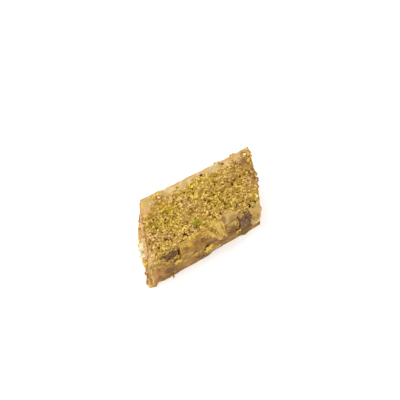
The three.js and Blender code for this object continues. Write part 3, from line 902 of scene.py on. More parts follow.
# %% Torn flap
def flap():
    """The torn leaf. Its part on top, where fall is negative, reaches in to the edge of the crumbs."""
    a, b = leaf_grid(200, 76)
    tongues = 3.0 * bell(a, 0.04, 0.16) + 4.8 * smoothstep(a, 0.66, 0.84)
    notch = 2.6 * bell(a, 0.93, 0.035) - 0.6 * bell(a, 0.99, 0.03) + 1.2 * bell(a, 0.76, 0.03)
    hem = 0.8 + tongues - notch + 0.4 * noise(11 * a, 0, 8) + 0.2 * noise(34 * a, 0, 12)
    hem = hem * lerp(0.35, 1, smoothstep(a, 0, 0.06))
    inward = 0.4 + 1.1 * smoothstep(a, 0.15, 0.5) + 1.5 * smoothstep(a, 0.72, 0.95)
    inward = inward + 0.35 * noise(9 * a, 0, 15)
    fall = lerp(hem, -inward, b)
    share = lerp(*FLAP, a) + 0.0045 * np.maximum(fall, 0) * smoothstep(a, 0.7, 1)
    share = share - 0.01 * smoothstep(a, 0.85, 1) * np.maximum(-fall, 0)
    share = share + 0.014 * noise(fall / 1.7, 0, 17) * (smoothstep(a, 0.75, 1) + 1 - smoothstep(a, 0, 0.15))
    x, y = plan_point(share, 0)
    rounding = np.exp(-np.maximum(fall, 0) / 1.5)
    petal = smoothstep(a, 0.62, 0.78)
    out = lerp(1.7, 2.7, petal) - 3.9 * rounding + 0.08 * fall + 0.3 * noise(8 * a, 2 * b, 9) * (fall > 0)
    folds = 0.22 * noise(12 * a, 3 * b, 13) + 0.1 * noise(34 * a, 8 * b, 14)
    crumple = noise(15 * a + 1.5 * b, 4 * b - 3 * a, 33) + 0.6 * noise(26 * a, 8 * b, 34)
    fold_line = petal * (0.75 * crumple + 0.4 * bell(a - 0.02 * fall, 0.78, 0.035))
    hanging = TOP_SURFACE - (np.maximum(fall, 0) + 0.6 + 0.8 * (1 - rounding))
    out = np.where(fall < 0, -1.5 + fall, out)
    lift = 0.25 + 0.5 * smoothstep(-fall, 0.3, 1.6) * (0.6 + 0.4 * noise(7 * a, 0, 16))
    lying = top_height(share, -out / width_at(share)) + lift
    z = lerp(hanging, lying, smoothstep(-fall, -1.6, 0.5))
    middle = xyz(x, y - out - (folds + fold_line) * (1 - rounding), z + 0.12 * folds)
    thickness = 0.18 + 0.3 * smoothstep(b, 0, 0.2) * (1 - smoothstep(b, 0.75, 1))
    return middle, thickness, share, fall, petal * crumple


FLAP_BLOTCHES = {  # by share of the front and millimetres fallen past the edge
    # The brown blotches at negative falls, on the part that lies on top, are painted shadow along the line
    # where the flap lifts off the crumbs.
    "brown": [(0.46, -1.6, 0.06, 0.7, 0.85), (0.52, -2.2, 0.04, 0.5, 0.8), (0.36, -0.8, 0.05, 0.5, 0.4)],
    "olive": [(0.44, 0.6, 0.05, 0.9, 0.6), (0.57, 1.2, 0.03, 1.2, 0.35), (0.3, 1.6, 0.03, 1.2, 0.3)],
    "rosy": [(0.5, 1.0, 0.02, 0.6, 0.3)],
    "pale": [
        (0.27, 3.0, 0.03, 1.0, 0.5), (0.62, 6.5, 0.04, 1.2, 0.6), (0.59, 3.4, 0.02, 2.0, 0.5),
        (0.69, 7.5, 0.02, 1.2, 0.8), (0.63, 0.2, 0.02, 1.2, 0.6), (0.4, -0.6, 0.08, 0.4, 0.5),
    ],
}
# Painted highlight and shade: the crumpled petal is paler on its ridges, olive and browner in its hollows.
*torn, ridge = flap()
make_leaf(
    "torn_flap", *torn, FLAP_BLOTCHES, 109,
    pale=0.75 * smoothstep(ridge, 0.15, 0.7),
    olive=0.6 * smoothstep(-ridge, 0.0, 0.5),
    brown=0.85 * smoothstep(-ridge, 0.2, 0.7),
)

# %% Corner leaf
def corner_leaf():
    """A leaf round the front left corner, from the long apron's end to a little way up the left side."""
    a, b = leaf_grid(60, 60)
    u = 0.09 * np.clip(1 - a / 0.55, 0, 1)
    v = 0.09 * np.clip((a - 0.55) / 0.45, 0, 1)
    z = lerp(0.5 + 0.3 * noise(6 * a, 0, 91), 16.4 - 1.2 * a, b)
    x, y = plan_point(u, v)
    turn = smoothstep(a, 0.4, 0.7)[..., None]
    way = (1 - turn) * SIDE_WAYS[0] + turn * SIDE_WAYS[2]
    height = z / TOP_SURFACE
    out = FLARE * (1 - height) + 0.3 + tip_reach(u, v, height)
    beside_slit = (a - 0.5 - 0.016 * z) * (1 - smoothstep(z, 8, 10))
    out = out + 0.2 * noise(5 * a, z / 3, 92) + 0.1 * noise(14 * a, z / 1.4, 93)
    out = out - 0.4 * bell(beside_slit, 0.0, 0.03) + 0.2 * bell(beside_slit, 0.07, 0.05)
    out = out - 0.6 * (1 - height) * bell(a, 0.25, 0.18)
    return moved(x, y, way, out, z), 0.3, 0.14 * a, z


WRAP_BLOTCHES = {  # by share of the way along the leaf and height
    # The first three brown blotches follow the slit beside the corner, as painted shade in it.
    "brown": [
        (0.0755, 2.8, 0.006, 2.4, 1.0), (0.081, 5.4, 0.007, 2.4, 1.0), (0.093, 7.8, 0.011, 1.8, 1.0),
        (0.014, 12.0, 0.017, 2.0, 0.4), (0.02, 4.0, 0.02, 2.0, 0.5),
    ],
    "olive": [(0.13, 4.0, 0.014, 3.5, 0.8), (0.125, 12.0, 0.02, 3.0, 0.7)],
    "rosy": [(0.045, 9.0, 0.025, 5.5, 0.9)],
    "pale": [(0.071, 12.0, 0.004, 3.6, 0.6), (0.0665, 5.5, 0.004, 4.5, 0.7), (0.099, 3.5, 0.009, 3.5, 0.6)],
}
make_leaf("corner_wrap", *corner_leaf(), WRAP_BLOTCHES, 113)

# %% [markdown]
# ## Flakes
#
# Bits of leaf stand out of the sides. Each could be cut out of a larger leaf, but a small sheet whose grid
# narrows from where it is held to its torn point needs no cutting.

# %% Flakes
# A flake's shares u and v, height, length, width, lift and turn.
FLAKES = {
    "bottom_flakes": [
        (0, 0.5, 6.4, 2.9, 5.5, 0.9, 0.2),
        (0, 0.14, 2.6, 2.2, 3.2, 0.5, -0.2),
        (0.19, 0, 1.2, 3.8, 1.6, -0.4, -0.35),
        (0.42, 1, 3.4, 2.8, 5, 0.6, 0.1),
    ],
    "top_flakes": [
        (0.16, 1, 17.2, 2.2, 6, 0.3, 0),
        (1, 0.56, 16.2, 2.6, 4, 0.4, -0.2),
        (0.7, 1, 17.3, 2.2, 6, 0.3, 0),
        (0.86, 1, 17.4, 2.5, 5, 0.4, 0.1),
    ],
    "pale_flakes": [(0, 0.36, 15.2, 5.0, 5.0, -1.4, 0.05), (0, 0.28, 13.6, 4.6, 4.0, -1.6, 0.15)],
}


def flake(u, v, z, length, width, lift, turn):
    b, a = leaf_grid(14, 16)
    way = way_out(u, v, reach=0.3)[0]
    push = side_push(u, v, z / TOP_SURFACE, 1.0) - 1.5
    turned_x = way[0] * math.cos(turn) - way[1] * math.sin(turn)
    turned_y = way[0] * math.sin(turn) + way[1] * math.cos(turn)
    reach = a * length * (1 + 0.16 * noise(5 * b, 0, u * 40 + z))
    side = (b - 0.5) * width * (1 - 0.7 * a * a) + 0.5 * a * math.sin(9 * u + 5 * v)
    side = side + 0.2 * noise(4 * a, 3 * b, z)
    x0, y0 = plan_point(u, v)
    x = x0 + way[0] * push + turned_x * reach - turned_y * side
    y = y0 + way[1] * push + turned_y * reach + turned_x * side
    height = z + lift * a * a + 0.25 * np.sin(5 * b + 3 * a) + 0.12 * noise(4 * a, 5 * b, z + 9)
    return sheet(xyz(x, y, height), 0.14 + 0.26 * (1 - smoothstep(a, 0.4, 1)))


for name, places in FLAKES.items():
    make_piece(name, together([flake(*place) for place in places]))

# %% [markdown]
# Smaller bits came off altogether and stuck to the syrup on the front. Each is a curled lobe whose edges
# lift.

# %% Bits of leaf on the front
# A bit's share of the front, height, length, width, turn, and how far it stands out.
STUCK_BITS = [
    (0.228, 12.0, 3.3, 2.6, 0.1, 0.7),
    (0.392, 9.8, 2.1, 1.6, 1.3, 0.4),
    (0.5, 8.8, 4.2, 3.6, 0.75, 0.8),
    (0.755, 15.4, 2.6, 1.0, 1.4, -0.3),
    (0.78, 7.6, 2.4, 1.7, 0.9, 0.2),
]


def stuck_bit(share, z, length, width, turn, stand):
    b, a = leaf_grid(12, 16, start=-1)
    lobe = 1 + 0.3 * noise(2 * a, 2 * b, 60 * share + z) + 0.2 * noise(5 * a, 5 * b, z)
    along = (a * length * math.cos(turn) - b * width * math.sin(turn) * (1 - 0.5 * a * a)) * lobe / 2
    up = (a * length * math.sin(turn) + b * width * math.cos(turn) * (1 - 0.5 * a * a)) * lobe / 2
    x, y = plan_point(share, 0)
    out = 1.35 + stand + 0.35 * a * a + 0.3 * b * b + 0.5 * noise(2 * a, 2.5 * b, z)
    return sheet(xyz(x + along, y - out, z + up), 0.22)


make_piece("stuck_bits", together([stuck_bit(*place) for place in STUCK_BITS]))

# %% [markdown]
# ## Broken nuts
#
# A chopped or ground nut is an irregular scrap with flat broken sides and sharp corners. Each scrap here
# starts as a ball of triangles that is chipped: a few random planes cut it, and every point beyond a plane is
# pressed flat onto it. Then it is squashed and turned at random. Thousands are made at once by doing this to
# a whole array of balls.

# %% Ball of triangles
def ball(rounds):
    """A ball of triangles of radius 1: an icosahedron, each triangle split in four the given times."""
    t = (1 + math.sqrt(5)) / 2
    corners = [(-1, t, 0), (1, t, 0), (-1, -t, 0), (1, -t, 0), (0, -1, t), (0, 1, t)]
    corners += [(0, -1, -t), (0, 1, -t), (t, 0, -1), (t, 0, 1), (-t, 0, -1), (-t, 0, 1)]
    faces = [(0, 11, 5), (0, 5, 1), (0, 1, 7), (0, 7, 10), (0, 10, 11), (1, 5, 9), (5, 11, 4), (11, 10, 2)]
    faces += [(10, 7, 6), (7, 1, 8), (3, 9, 4), (3, 4, 2), (3, 2, 6), (3, 6, 8), (3, 8, 9), (4, 9, 5)]
    faces += [(2, 4, 11), (6, 2, 10), (8, 6, 7), (9, 8, 1)]
    points = [np.array(corner, float) / np.linalg.norm(corner) for corner in corners]
    for _ in range(rounds):
        halves = {}
        split = []

        def half(i, j):
            key = (min(i, j), max(i, j))
            if key not in halves:
                halves[key] = len(points)
                middle = points[i] + points[j]
                points.append(middle / np.linalg.norm(middle))
            return halves[key]

        for i, j, k in faces:
            ij, jk, ki = half(i, j), half(j, k), half(k, i)
            split += [(i, ij, ki), (j, jk, ij), (k, ki, jk), (ij, jk, ki)]
        faces = split
    return np.array(points), np.array(faces)


print("points of balls of 0, 1 and 2 rounds:", [len(ball(rounds)[0]) for rounds in range(3)])

# %% Turned and chipped scraps
def turns(count, draw, tilt=1.0):
    """Random turns as matrices. With a small tilt, the third axis stays close to upright."""
    spin = draw.uniform(0, 2 * math.pi, count)
    lean = tilt * np.arccos(draw.uniform(-1, 1, count))
    about = draw.uniform(0, 2 * math.pi, count)
    zero, one = np.zeros(count), np.ones(count)

    def about_z(angle):
        c, s = np.cos(angle), np.sin(angle)
        return np.stack([c, -s, zero, s, c, zero, zero, zero, one], axis=-1).reshape(-1, 3, 3)

    c, s = np.cos(lean), np.sin(lean)
    about_x = np.stack([one, zero, zero, zero, c, -s, zero, s, c], axis=-1).reshape(-1, 3, 3)
    return about_z(about) @ about_x @ about_z(spin)


SQUASH = ((0.6, 0.95), (0.45, 0.8))  # ranges of the second and third axes' shares of the first
BROKEN_AT = (0.35, 0.8)  # how far from the middle a broken side may lie, in radii


def scraps(centres, radii, rounds, draw, squash=SQUASH, tilt=1.0, matrices=None, chips=4, rough=0.1):
    """Scraps at the centres as one shape, turned and squashed by the matrices or, without them, by chance."""
    base, faces = ball(rounds)
    count = len(centres)
    local = base * (1 + rough * draw.uniform(-1, 1, (count, len(base), 1)))
    for _ in range(chips):
        plane = draw.normal(size=(count, 3))
        plane /= np.linalg.norm(plane, axis=1, keepdims=True)
        beyond = np.einsum("nvc,nc->nv", local, plane) - draw.uniform(*BROKEN_AT, (count, 1))
        local = local - np.maximum(beyond, 0)[..., None] * plane[:, None]
    if matrices is None:
        scale = [np.ones(count)] + [draw.uniform(*span, count) for span in squash]
        matrices = turns(count, draw, tilt) * np.stack(scale, axis=-1)[:, None]
    local = np.einsum("nij,nvj->nvi", matrices, local) * np.asarray(radii)[:, None, None]
    starts = (np.arange(count) * len(base))[:, None, None]
    return (local + centres[:, None]).reshape(-1, 3), [(faces + starts).reshape(-1, 3)]


def per_point(values, shape):
    """A number for each scrap, given to all points of it."""
    return np.repeat(values, len(shape[0]) // len(values))


# %% [markdown]
# ## The filling
#
# Between the stacks lies a brown mash of chopped pistachios and syrup. It bulges out in a heap in each of the
# two openings of the front. A stack of rings is enough for the layer, because only its lumpy sides are seen,
# and each heap is a bent slab in front of it.

# %% Filling
def filling_push(u, v, z):
    """How far the mash stands out at a height, without its nuts."""
    x, y = plan_point(u, v)
    front = 0.5 * within(LONG_APRON, u) * (v < ON_RIM)
    right = 0.5 * np.sin(math.pi * v) * (u > 1 - ON_RIM)
    return swell(u, v, z / TOP_SURFACE) - 1 + 0.4 * noise(x / 3, y / 3, z) - front + right


MASH_POINTS = 600
MASH_RINGS = 24
MASH_STEPS = 4
MASH_STRIDE = 0.28  # about the way from one point of a ring to the next


def mash():
    """The layer as rings: its push is worked out at a few heights as the solid's is, and lumps are added."""
    u, v = rim(MASH_POINTS)
    x, y = plan_point(u, v)
    way, _ = way_out(u, v)
    steps = np.linspace(FILLING_FLOOR - TRIM, FILLING_CEILING + TRIM, MASH_STEPS)
    pushes = np.array([filling_push(u, v, step) for step in steps])
    along = np.arange(len(u)) * MASH_STRIDE
    rings = []
    for z in np.linspace(FILLING_FLOOR + 0.02, FILLING_CEILING - 0.02, MASH_RINGS):
        place = np.interp(z, steps, np.arange(MASH_STEPS))
        low = min(int(place), MASH_STEPS - 2)
        out = lerp(pushes[low], pushes[low + 1], place - low)
        out = out + 0.3 * noise(along / 1.1, z / 1.1, 71) + 0.16 * noise(along / 0.5, z / 0.5, 72)
        rings.append(moved(x, y, way, out, z))
    return capped(rings)


make_piece("nut_mash", mash())

# %% Heaps in the openings
# Span in shares of the front, lowest and highest height, seed, and how many nuts lie on it.
HEAPS = [((0.125, 0.258), FILLING_CEILING - 1, 16.4, 3, 92), ((0.81, 0.925), 3.5, 16.0, 13, 36)]


def heap_face(a, b, span, low, high, seed):
    """The outer face of a heap, at shares a along it and b up it, and how far out it lies."""
    x, y = plan_point(lerp(*span, a), 0)
    arch = np.sqrt(np.sin(math.pi * lerp(0.1, 0.9, a)))
    z = lerp(low, lerp(FILLING_CEILING, high, arch), b) + 0.3 * noise(2 * a, 0, seed + 1) * b
    out = -0.1 - 0.2 * b + 0.2 * noise(3 * a, 3 * b, seed) + 0.5 * (span[0] > 0.5)
    return x, y, z, out


def heap(*place):
    """A lumpy closed slab, wide at its middle height, behind the face."""
    a, b = leaf_grid(50, 64)
    x, y, z, out = heap_face(a, b, *place)
    edge = np.minimum.reduce([a, 1 - a, b, 1 - b])
    round_off = 0.7 * (1 - smoothstep(edge, 0, 0.14))
    lumps = waves(x, z, (0.22, 1.3, 73), (0.1, 0.5, 74))
    return sheet(xyz(x, y - out - lumps + 0.6 + round_off, z), 1.2)


make_piece("mash_heaps", together([heap(*place) for *place, _ in HEAPS]))

# %% [markdown]
# ### Nuts in the filling
#
# Nuts of two sizes stand out of the mash wherever it shows. The large ones are drawn from the same stream of
# numbers as those of the measured solid, so each lies where that one does. The small ones are too many to
# matter singly, and chance strews them.

# %% Turns of the measured scraps
def turned(x, y, z):
    """The turn about x, then y, then z, as one matrix in the order that the measured solids use."""
    cx, sx, cy, sy, cz, sz = math.cos(x), math.sin(x), math.cos(y), math.sin(y), math.cos(z), math.sin(z)
    about_x = np.array([[1, 0, 0], [0, cx, -sx], [0, sx, cx]])
    about_y = np.array([[cy, 0, sy], [0, 1, 0], [-sy, 0, cy]])
    about_z = np.array([[cz, -sz, 0], [sz, cz, 0], [0, 0, 1]])
    return about_x @ about_y @ about_z


def scrap_matrix(stream):
    """A scrap's turn and squash, drawn as the measured solids draw theirs."""
    x, y, z = next(stream) * math.pi, next(stream) * math.pi, next(stream) * math.pi
    scale = np.array([1, lerp(0.6, 0.95, next(stream)), lerp(0.5, 0.85, next(stream))])
    return turned(x, y, z) * scale


# %% Large nuts
NUT_RADIUS = (1.9, 1.2)
NUT_SPACING = 3.7
NUT_INSET = 0.96  # of the measured nut's size, so that it stays inside the box


def large_nuts():
    """Centres, radii and matrices of the nuts that stand out of the filling."""
    stream = random_stream(23)
    sides = [((0, 0), (1, 0), LENGTH), ((1, 0), (0, 1), WIDTH_RIGHT)]
    sides += [((1, 1), (-1, 0), LENGTH), ((0, 1), (0, -1), WIDTH_LEFT)]
    nuts = []
    for start, along, length in sides:
        count = round(length / NUT_SPACING)
        for i in range(count):
            share = (i + 0.2 + 0.6 * next(stream)) / count
            u, v = start[0] + along[0] * share, start[1] + along[1] * share
            radius = lerp(*NUT_RADIUS, next(stream))
            middle = (FILLING_FLOOR + FILLING_CEILING) / 2
            z = middle + (next(stream) - 0.5) * max(0, FILLING_CEILING - FILLING_FLOOR - 2 * radius)
            if v < ON_RIM and u < LONG_APRON[1]:
                continue
            out = filling_push(u, v, z) + (0.35 * next(stream) - 0.1) * radius
            nuts.append((moved(*plan_point(u, v), way_out(u, v)[0], out, z), radius, scrap_matrix(stream)))
    return [np.array(column) for column in zip(*nuts)]


def make_nuts(name, shape, count, smooth):
    """Nuts as a piece, each of a hue and a lightness that chance gives it."""
    hue, light = (per_point(chance.uniform(0, 1, count), shape) for _ in range(2))
    make_piece(name, shape, smooth, hue=hue, light=light)


centres, radii, matrices = large_nuts()
shape = scraps(centres, radii * NUT_INSET, 2, chance, matrices=matrices, chips=5, rough=0.02)
make_nuts("filling_nuts", flattened(shape, FILLING_FLOOR - 0.2, FILLING_CEILING + 0.2), len(centres), True)

# %% Small nuts
SMALL_NUTS = 760


def small_nuts(count):
    """Centres and radii of bits strewn over the mash, all round."""
    draw = np.random.default_rng(41)
    u, v = rim(2000)
    pick = draw.integers(0, len(u), count)
    u, v = u[pick], v[pick]
    z = draw.uniform(FILLING_FLOOR + 0.3, FILLING_CEILING - 0.3, count)
    radii = draw.uniform(0.35, 0.85, count)
    out = filling_push(u, v, z) + draw.uniform(-0.1, 0.5, count)
    return moved(*plan_point(u, v), way_out(u, v)[0], out, z), radii


def heap_nuts():
    """Centres and radii of bits strewn over the two heaps."""
    draw = np.random.default_rng(42)
    centres = []
    for *place, count in HEAPS:
        a, b = draw.uniform(0.02, 0.98, (2, count))
        x, y, z, out = heap_face(a, b, *place)
        centres.append(xyz(x, y - out - draw.uniform(-0.5, 0.25, count), z))
    centres = np.concatenate(centres)
    return centres, draw.uniform(0.3, 0.85, len(centres))


centres, radii = (np.concatenate(parts) for parts in zip(small_nuts(SMALL_NUTS), heap_nuts()))
make_nuts("filling_crumbs", scraps(centres, radii, 1, chance), len(centres), False)

# %% [markdown]
# ## Ground pistachio
#
# The topping is a heap about one crumb deep, with crumbs of three sizes and thin scraps of purple skin. The
# coarse grains lie where those of the measured solid do, and medium and fine crumbs fill the gaps. These land
# where a random draw falls on covered pastry, and now and then on a bare rim, but not in the small holes of
# the mat, which are painted dark as shade. Every crumb carries one number for its colour and one for how
# light it is, which near the ground also holds painted shade. Neighbours have like colours, because one nut
# breaks into many crumbs.

# %% Where crumbs fall
HIGHEST = cad_box[1].z / MM + 0.4  # no crumb stands higher than this
CLEAR_OF_RIM = 0.25
STRAYS = 0.02  # chance of a crumb on bare pastry
NO_HOLE = 0.55  # how deep in a hole of the mat a crumb may still lie


def surface_height(u, v):
    return top_height(u, v) + fine_relief(u, v)


def fall(count, draw):
    """Shares u, v of spots on covered pastry, with a few strays on bare pastry."""
    kept = np.empty((2, 0))
    while kept.shape[1] < count:
        u, v = spots = draw.uniform(0, 1, (2, 4 * count))
        clear = np.minimum.reduce(distances(u, v)) > CLEAR_OF_RIM
        clear &= distances(u, v)[0] > broken_away(u) + CLEAR_OF_RIM
        clear &= pitted(*plan_point(u, v)) < NO_HOLE
        thinned = strewn(u, v) ** 1.5 + 0.3 * strewn(u, v - 0.05) * (v > 0.7)
        wanted = draw.uniform(0, 1, 4 * count) < thinned + STRAYS
        kept = np.concatenate([kept, spots[:, clear & wanted]], axis=1)
    return kept[:, :count]


print("crumbs stay below, mm:", round(HIGHEST, 2))

# %% Colours of the crumbs
# About one crumb in six is dark, partly as painted shade for the gaps between crumbs.
DARK_SHARE = 0.17
# Where the crumbs are of another nut: u, v, reach in millimetres, and the shift of their hue and lightness.
DRIFTS = [
    (0.935, 0.79, 3.4, -0.5, -0.45), (0.435, 0.23, 1.6, 0.6, -0.15), (0.415, 0.15, 2.2, -0.3, -0.35),
    (0.46, 0.29, 1.4, -0.3, -0.3), (0.15, 0.9, 4.2, -0.1, 0.5), (0.87, 0.55, 7.5, -0.2, -0.18),
    (0.975, 0.93, 2.4, -0.4, -0.1), (0.66, 0.58, 3.5, -0.3, 0.08), (0.6, 0.22, 5.0, -0.05, 0.14),
    (0.04, 0.57, 2.0, 0.45, 0.0), (0.0, 0.62, 2.4, -0.45, 0.1), (0.0, 0.42, 2.4, -0.45, 0.1),
    (0.45, 0.82, 2.0, 0.4, 0.15), (0.985, 0.45, 2.5, -0.4, -0.3),
]


def drifted(x, y, which):
    """The shift that all drifts give a place: of the hue where which is 0, of the lightness where it is 1."""
    return sum(nearness(x, y, plan_point(u, v), reach) * shifts[which] for u, v, reach, *shifts in DRIFTS)


def crumb_hue(x, y, draw):
    """Each crumb's colour number, which drifts over the piece: 0 is rosy tan, 0.5 gold, 1 yellow green."""
    middle = 0.5 + 0.3 * noise(x / 5.5, y / 5.5, 21) + 0.16 * noise(x / 2.4, y / 2.4, 22) + drifted(x, y, 0)
    return np.clip(middle + draw.normal(0, 0.07, len(x)), 0, 1)


def crumb_light(x, y, draw):
    """Each crumb's lightness: most are light, and about one in six is dark."""
    middle = 0.9 + 0.18 * noise(x / 1.7, y / 1.7, 23) + 0.08 * noise(x / 6, y / 6, 24) + drifted(x, y, 1)
    dark = draw.uniform(0, 1, len(x)) < DARK_SHARE
    return np.clip(middle + draw.normal(0, 0.18, len(x)) - 0.6 * dark, 0, 1)


# %% Crumbs as pieces
def make_crumbs(name, shape, x, y, ground, draw):
    """Crumbs as a piece. Each point is darker near the ground, where the crumbs shade each other."""
    hue = per_point(crumb_hue(x, y, draw), shape)
    light = per_point(crumb_light(x, y, draw), shape)
    rise = smoothstep(shape[0][:, 2] - per_point(ground, shape), -0.25, 0.6)
    make_piece(name, flattened(shape, high=HIGHEST), False, hue=hue, light=light * (0.25 + 0.75 * rise))


def crumbs(name, count, radius_range, rounds, seed, squash, rise=0.1, tilt=0.35, chips=4):
    """Crumbs strewn over the mat, most of them small, each raised by the share rise of its radius."""
    draw = np.random.default_rng(seed)
    u, v = fall(count, draw)
    radii = lerp(*radius_range, draw.uniform(0, 1, count) ** 1.5)
    x, y = plan_point(u, v)
    ground = surface_height(u, v)
    shape = scraps(xyz(x, y, ground + radii * rise), radii, rounds, draw, squash, tilt, chips=chips)
    make_crumbs(name, shape, x, y, ground, draw)


# %% Coarse grains
GRAIN_RADIUS = (1.5, 0.85)
GRAIN_COUNT = 94
GRAIN_TRIES = 14  # spots drawn for each grain, of which the one with the most room is taken
GRAIN_SINK = 0.3  # share of its radius
GRAIN_COVER = 0.55  # how well a spot has to be covered
GRAIN_CLEAR = 0.7  # of the rim
NO_GRAIN_NEAR = 99  # the first grain's distance from the others


def coarse_grains():
    """Centres, radii and matrices of the coarse grains, placed as the measured solid places them."""
    stream = random_stream(7)
    placed_at = []
    grains = []
    while len(placed_at) < GRAIN_COUNT:
        radius = lerp(*GRAIN_RADIUS, (len(placed_at) / GRAIN_COUNT) ** 0.6)
        best = None
        for _ in range(GRAIN_TRIES):
            u, v = next(stream), next(stream)
            if cover(u, v) < GRAIN_COVER or min(distances(u, v)) < GRAIN_CLEAR:
                continue
            x, y = plan_point(u, v)
            room = min([math.hypot(x - px, y - py) for px, py in placed_at] + [NO_GRAIN_NEAR])
            if best is None or room > best[0]:
                best = (room, x, y, float(top_height(u, v)))
        if best is None:
            continue
        _, x, y, z = best
        placed_at.append((x, y))
        grains.append(((x, y, z - GRAIN_SINK * radius), radius, scrap_matrix(stream)))
    return [np.array(column) for column in zip(*grains)]


# %% Make the topping
centres, radii, matrices = coarse_grains()
shape = scraps(centres, radii, 2, chance, matrices=matrices, chips=5, rough=0.02)
x, y, z = centres.T
make_crumbs("coarse_pistachio", shape, x, y, z + GRAIN_SINK * radii, chance)
crumbs(
    "medium_pistachio", 1600, (0.45, 1.35), rounds=1, seed=81, squash=((0.35, 0.8), (0.22, 0.45)), tilt=0.5
)
crumbs("fine_pistachio", 3800, (0.2, 0.5), rounds=0, seed=82, squash=((0.6, 1.0), (0.5, 0.9)), chips=1)
crumbs(
    "skin_scraps", 60, (0.35, 0.7), rounds=1, seed=83, squash=((0.5, 0.9), (0.15, 0.3)), rise=0.5, tilt=0.3
)

# %% [markdown]
# ### Crumbs over the edge, and crumbs that stand out
#
# Some crumbs slide over the front where it is broken, over the edge on the right and down the left side, and
# stick to the syrup there. A few bits of nut catch the eye by their colour: nearly black ones, purple skin,
# clear yellow, orange and green kernels and pale ones. Those are placed one by one.

# %% Spilled crumbs
# Where crumbs stick to the front: shares of its length, lowest and highest, the way out at either, how many.
SPILLS = [
    ((0.015, 0.12), (14.6, 18.3), (0.5, 0.2), 90), ((0.03, 0.1), (13.2, 15.5), (0.7, 0.5), 40),
    ((0.1, 0.26), (15.0, 18.4), (-1.3, -2.6), 150), ((0.11, 0.25), (12.9, 14.2), (0.9, 0.3), 60),
    ((0.8, 0.91), (14.8, 18.4), (-0.2, -2.2), 130), ((0.48, 0.63), (16.0, 17.9), (0.9, -1.2), 40),
]
RIGHT_CRUMBS = 120  # on the edge of the right side
LEFT_CRUMBS = 260  # stuck to the left side
RIGHT_PART = 28  # past this x the spilled crumbs are rosier


def spilled(draw):
    centres = []
    for shares, heights, outs, count in SPILLS:
        u = draw.uniform(*shares, count)
        up = draw.uniform(0, 1, count)
        out = lerp(*outs, up) + draw.uniform(-0.2, 0.25, count)
        centres.append(moved(*plan_point(u, 0), SIDE_WAYS[0], out, lerp(*heights, up)))
    v = draw.uniform(0.3, 0.97, RIGHT_CRUMBS)
    out = draw.uniform(0.1, 0.9, RIGHT_CRUMBS)
    z = draw.uniform(15.2, 18.8, RIGHT_CRUMBS)
    centres.append(moved(*plan_point(1, v), SIDE_WAYS[3], out, z))
    v = draw.uniform(0.15, 0.75, LEFT_CRUMBS)
    z = 18.8 - 7 * draw.uniform(0, 1, LEFT_CRUMBS) ** 1.3
    out = spread(0, v, z / TOP_SURFACE) + draw.uniform(0, 0.35, LEFT_CRUMBS)
    centres.append(moved(*plan_point(0, v), SIDE_WAYS[2], out, z))
    return np.concatenate(centres)


draw = np.random.default_rng(51)
centres = spilled(draw)
count = len(centres)
shape = scraps(centres, draw.uniform(0.3, 0.8, count), 1, draw)
on_left = np.arange(count) >= count - LEFT_CRUMBS
rosier = 0.25 * (centres[:, 0] > RIGHT_PART) + 0.35 * on_left
hue = np.clip(draw.normal(0.4, 0.2, count) - rosier, 0, 1)
light = np.minimum(draw.uniform(0.25, 1, count) + 0.1 * on_left, 1)
make_piece("spilled_crumbs", shape, False, hue=per_point(hue, shape), light=per_point(light, shape))

# %% Crumbs that stand out
DARK, PURPLE, GREEN, YELLOW, ORANGE, PALE = 0.0, 0.2, 0.4, 0.6, 0.8, 1.0

# Share along, share across, radius in millimetres and colour of single bits on the top.
TOP_ACCENTS = [
    (0.551, 0.921, 0.8, DARK), (0.38, 0.779, 0.62, DARK), (0.409, 0.667, 0.62, DARK),
    (0.755, 0.933, 0.6, DARK), (0.725, 0.975, 0.4, DARK), (0.3, 0.09, 0.55, DARK),
    (0.176, 0.23, 0.6, PURPLE), (0.789, 0.132, 0.85, PURPLE), (0.212, 0.598, 0.6, PURPLE),
    (0.122, 0.642, 0.6, PURPLE), (0.726, 0.566, 0.65, PURPLE), (0.955, 0.76, 0.55, PURPLE),
    (0.9, 0.78, 0.5, PURPLE), (0.97, 0.55, 0.7, PURPLE), (0.943, 0.573, 0.85, YELLOW),
    (0.926, 0.269, 0.75, YELLOW), (0.236, 0.706, 0.8, YELLOW), (0.23, 0.46, 0.7, YELLOW),
    (0.39, 0.079, 1.0, YELLOW), (0.36, 0.07, 0.8, YELLOW), (0.526, 0.863, 0.9, YELLOW),
    (0.505, 0.85, 0.7, YELLOW), (0.456, 0.809, 0.9, YELLOW), (0.475, 0.82, 0.7, YELLOW),
    (0.82, 0.84, 0.6, YELLOW), (0.985, 0.772, 0.85, ORANGE), (0.97, 0.75, 0.7, YELLOW),
    (0.44, 0.215, 1.1, GREEN), (0.46, 0.25, 0.8, GREEN), (0.33, 0.926, 0.6, GREEN),
    (0.42, 0.19, 0.7, GREEN), (0.163, 0.888, 0.9, PALE), (0.957, 0.892, 0.8, PALE),
    (0.945, 0.87, 0.6, PALE), (0.985, 0.13, 0.8, PALE), (0.98, 0.17, 0.6, YELLOW),
    (0.131, 0.934, 0.8, ORANGE), (0.171, 0.741, 0.7, ORANGE), (0.973, 0.625, 0.45, PALE),
    (0.963, 0.6, 0.6, PURPLE),
]
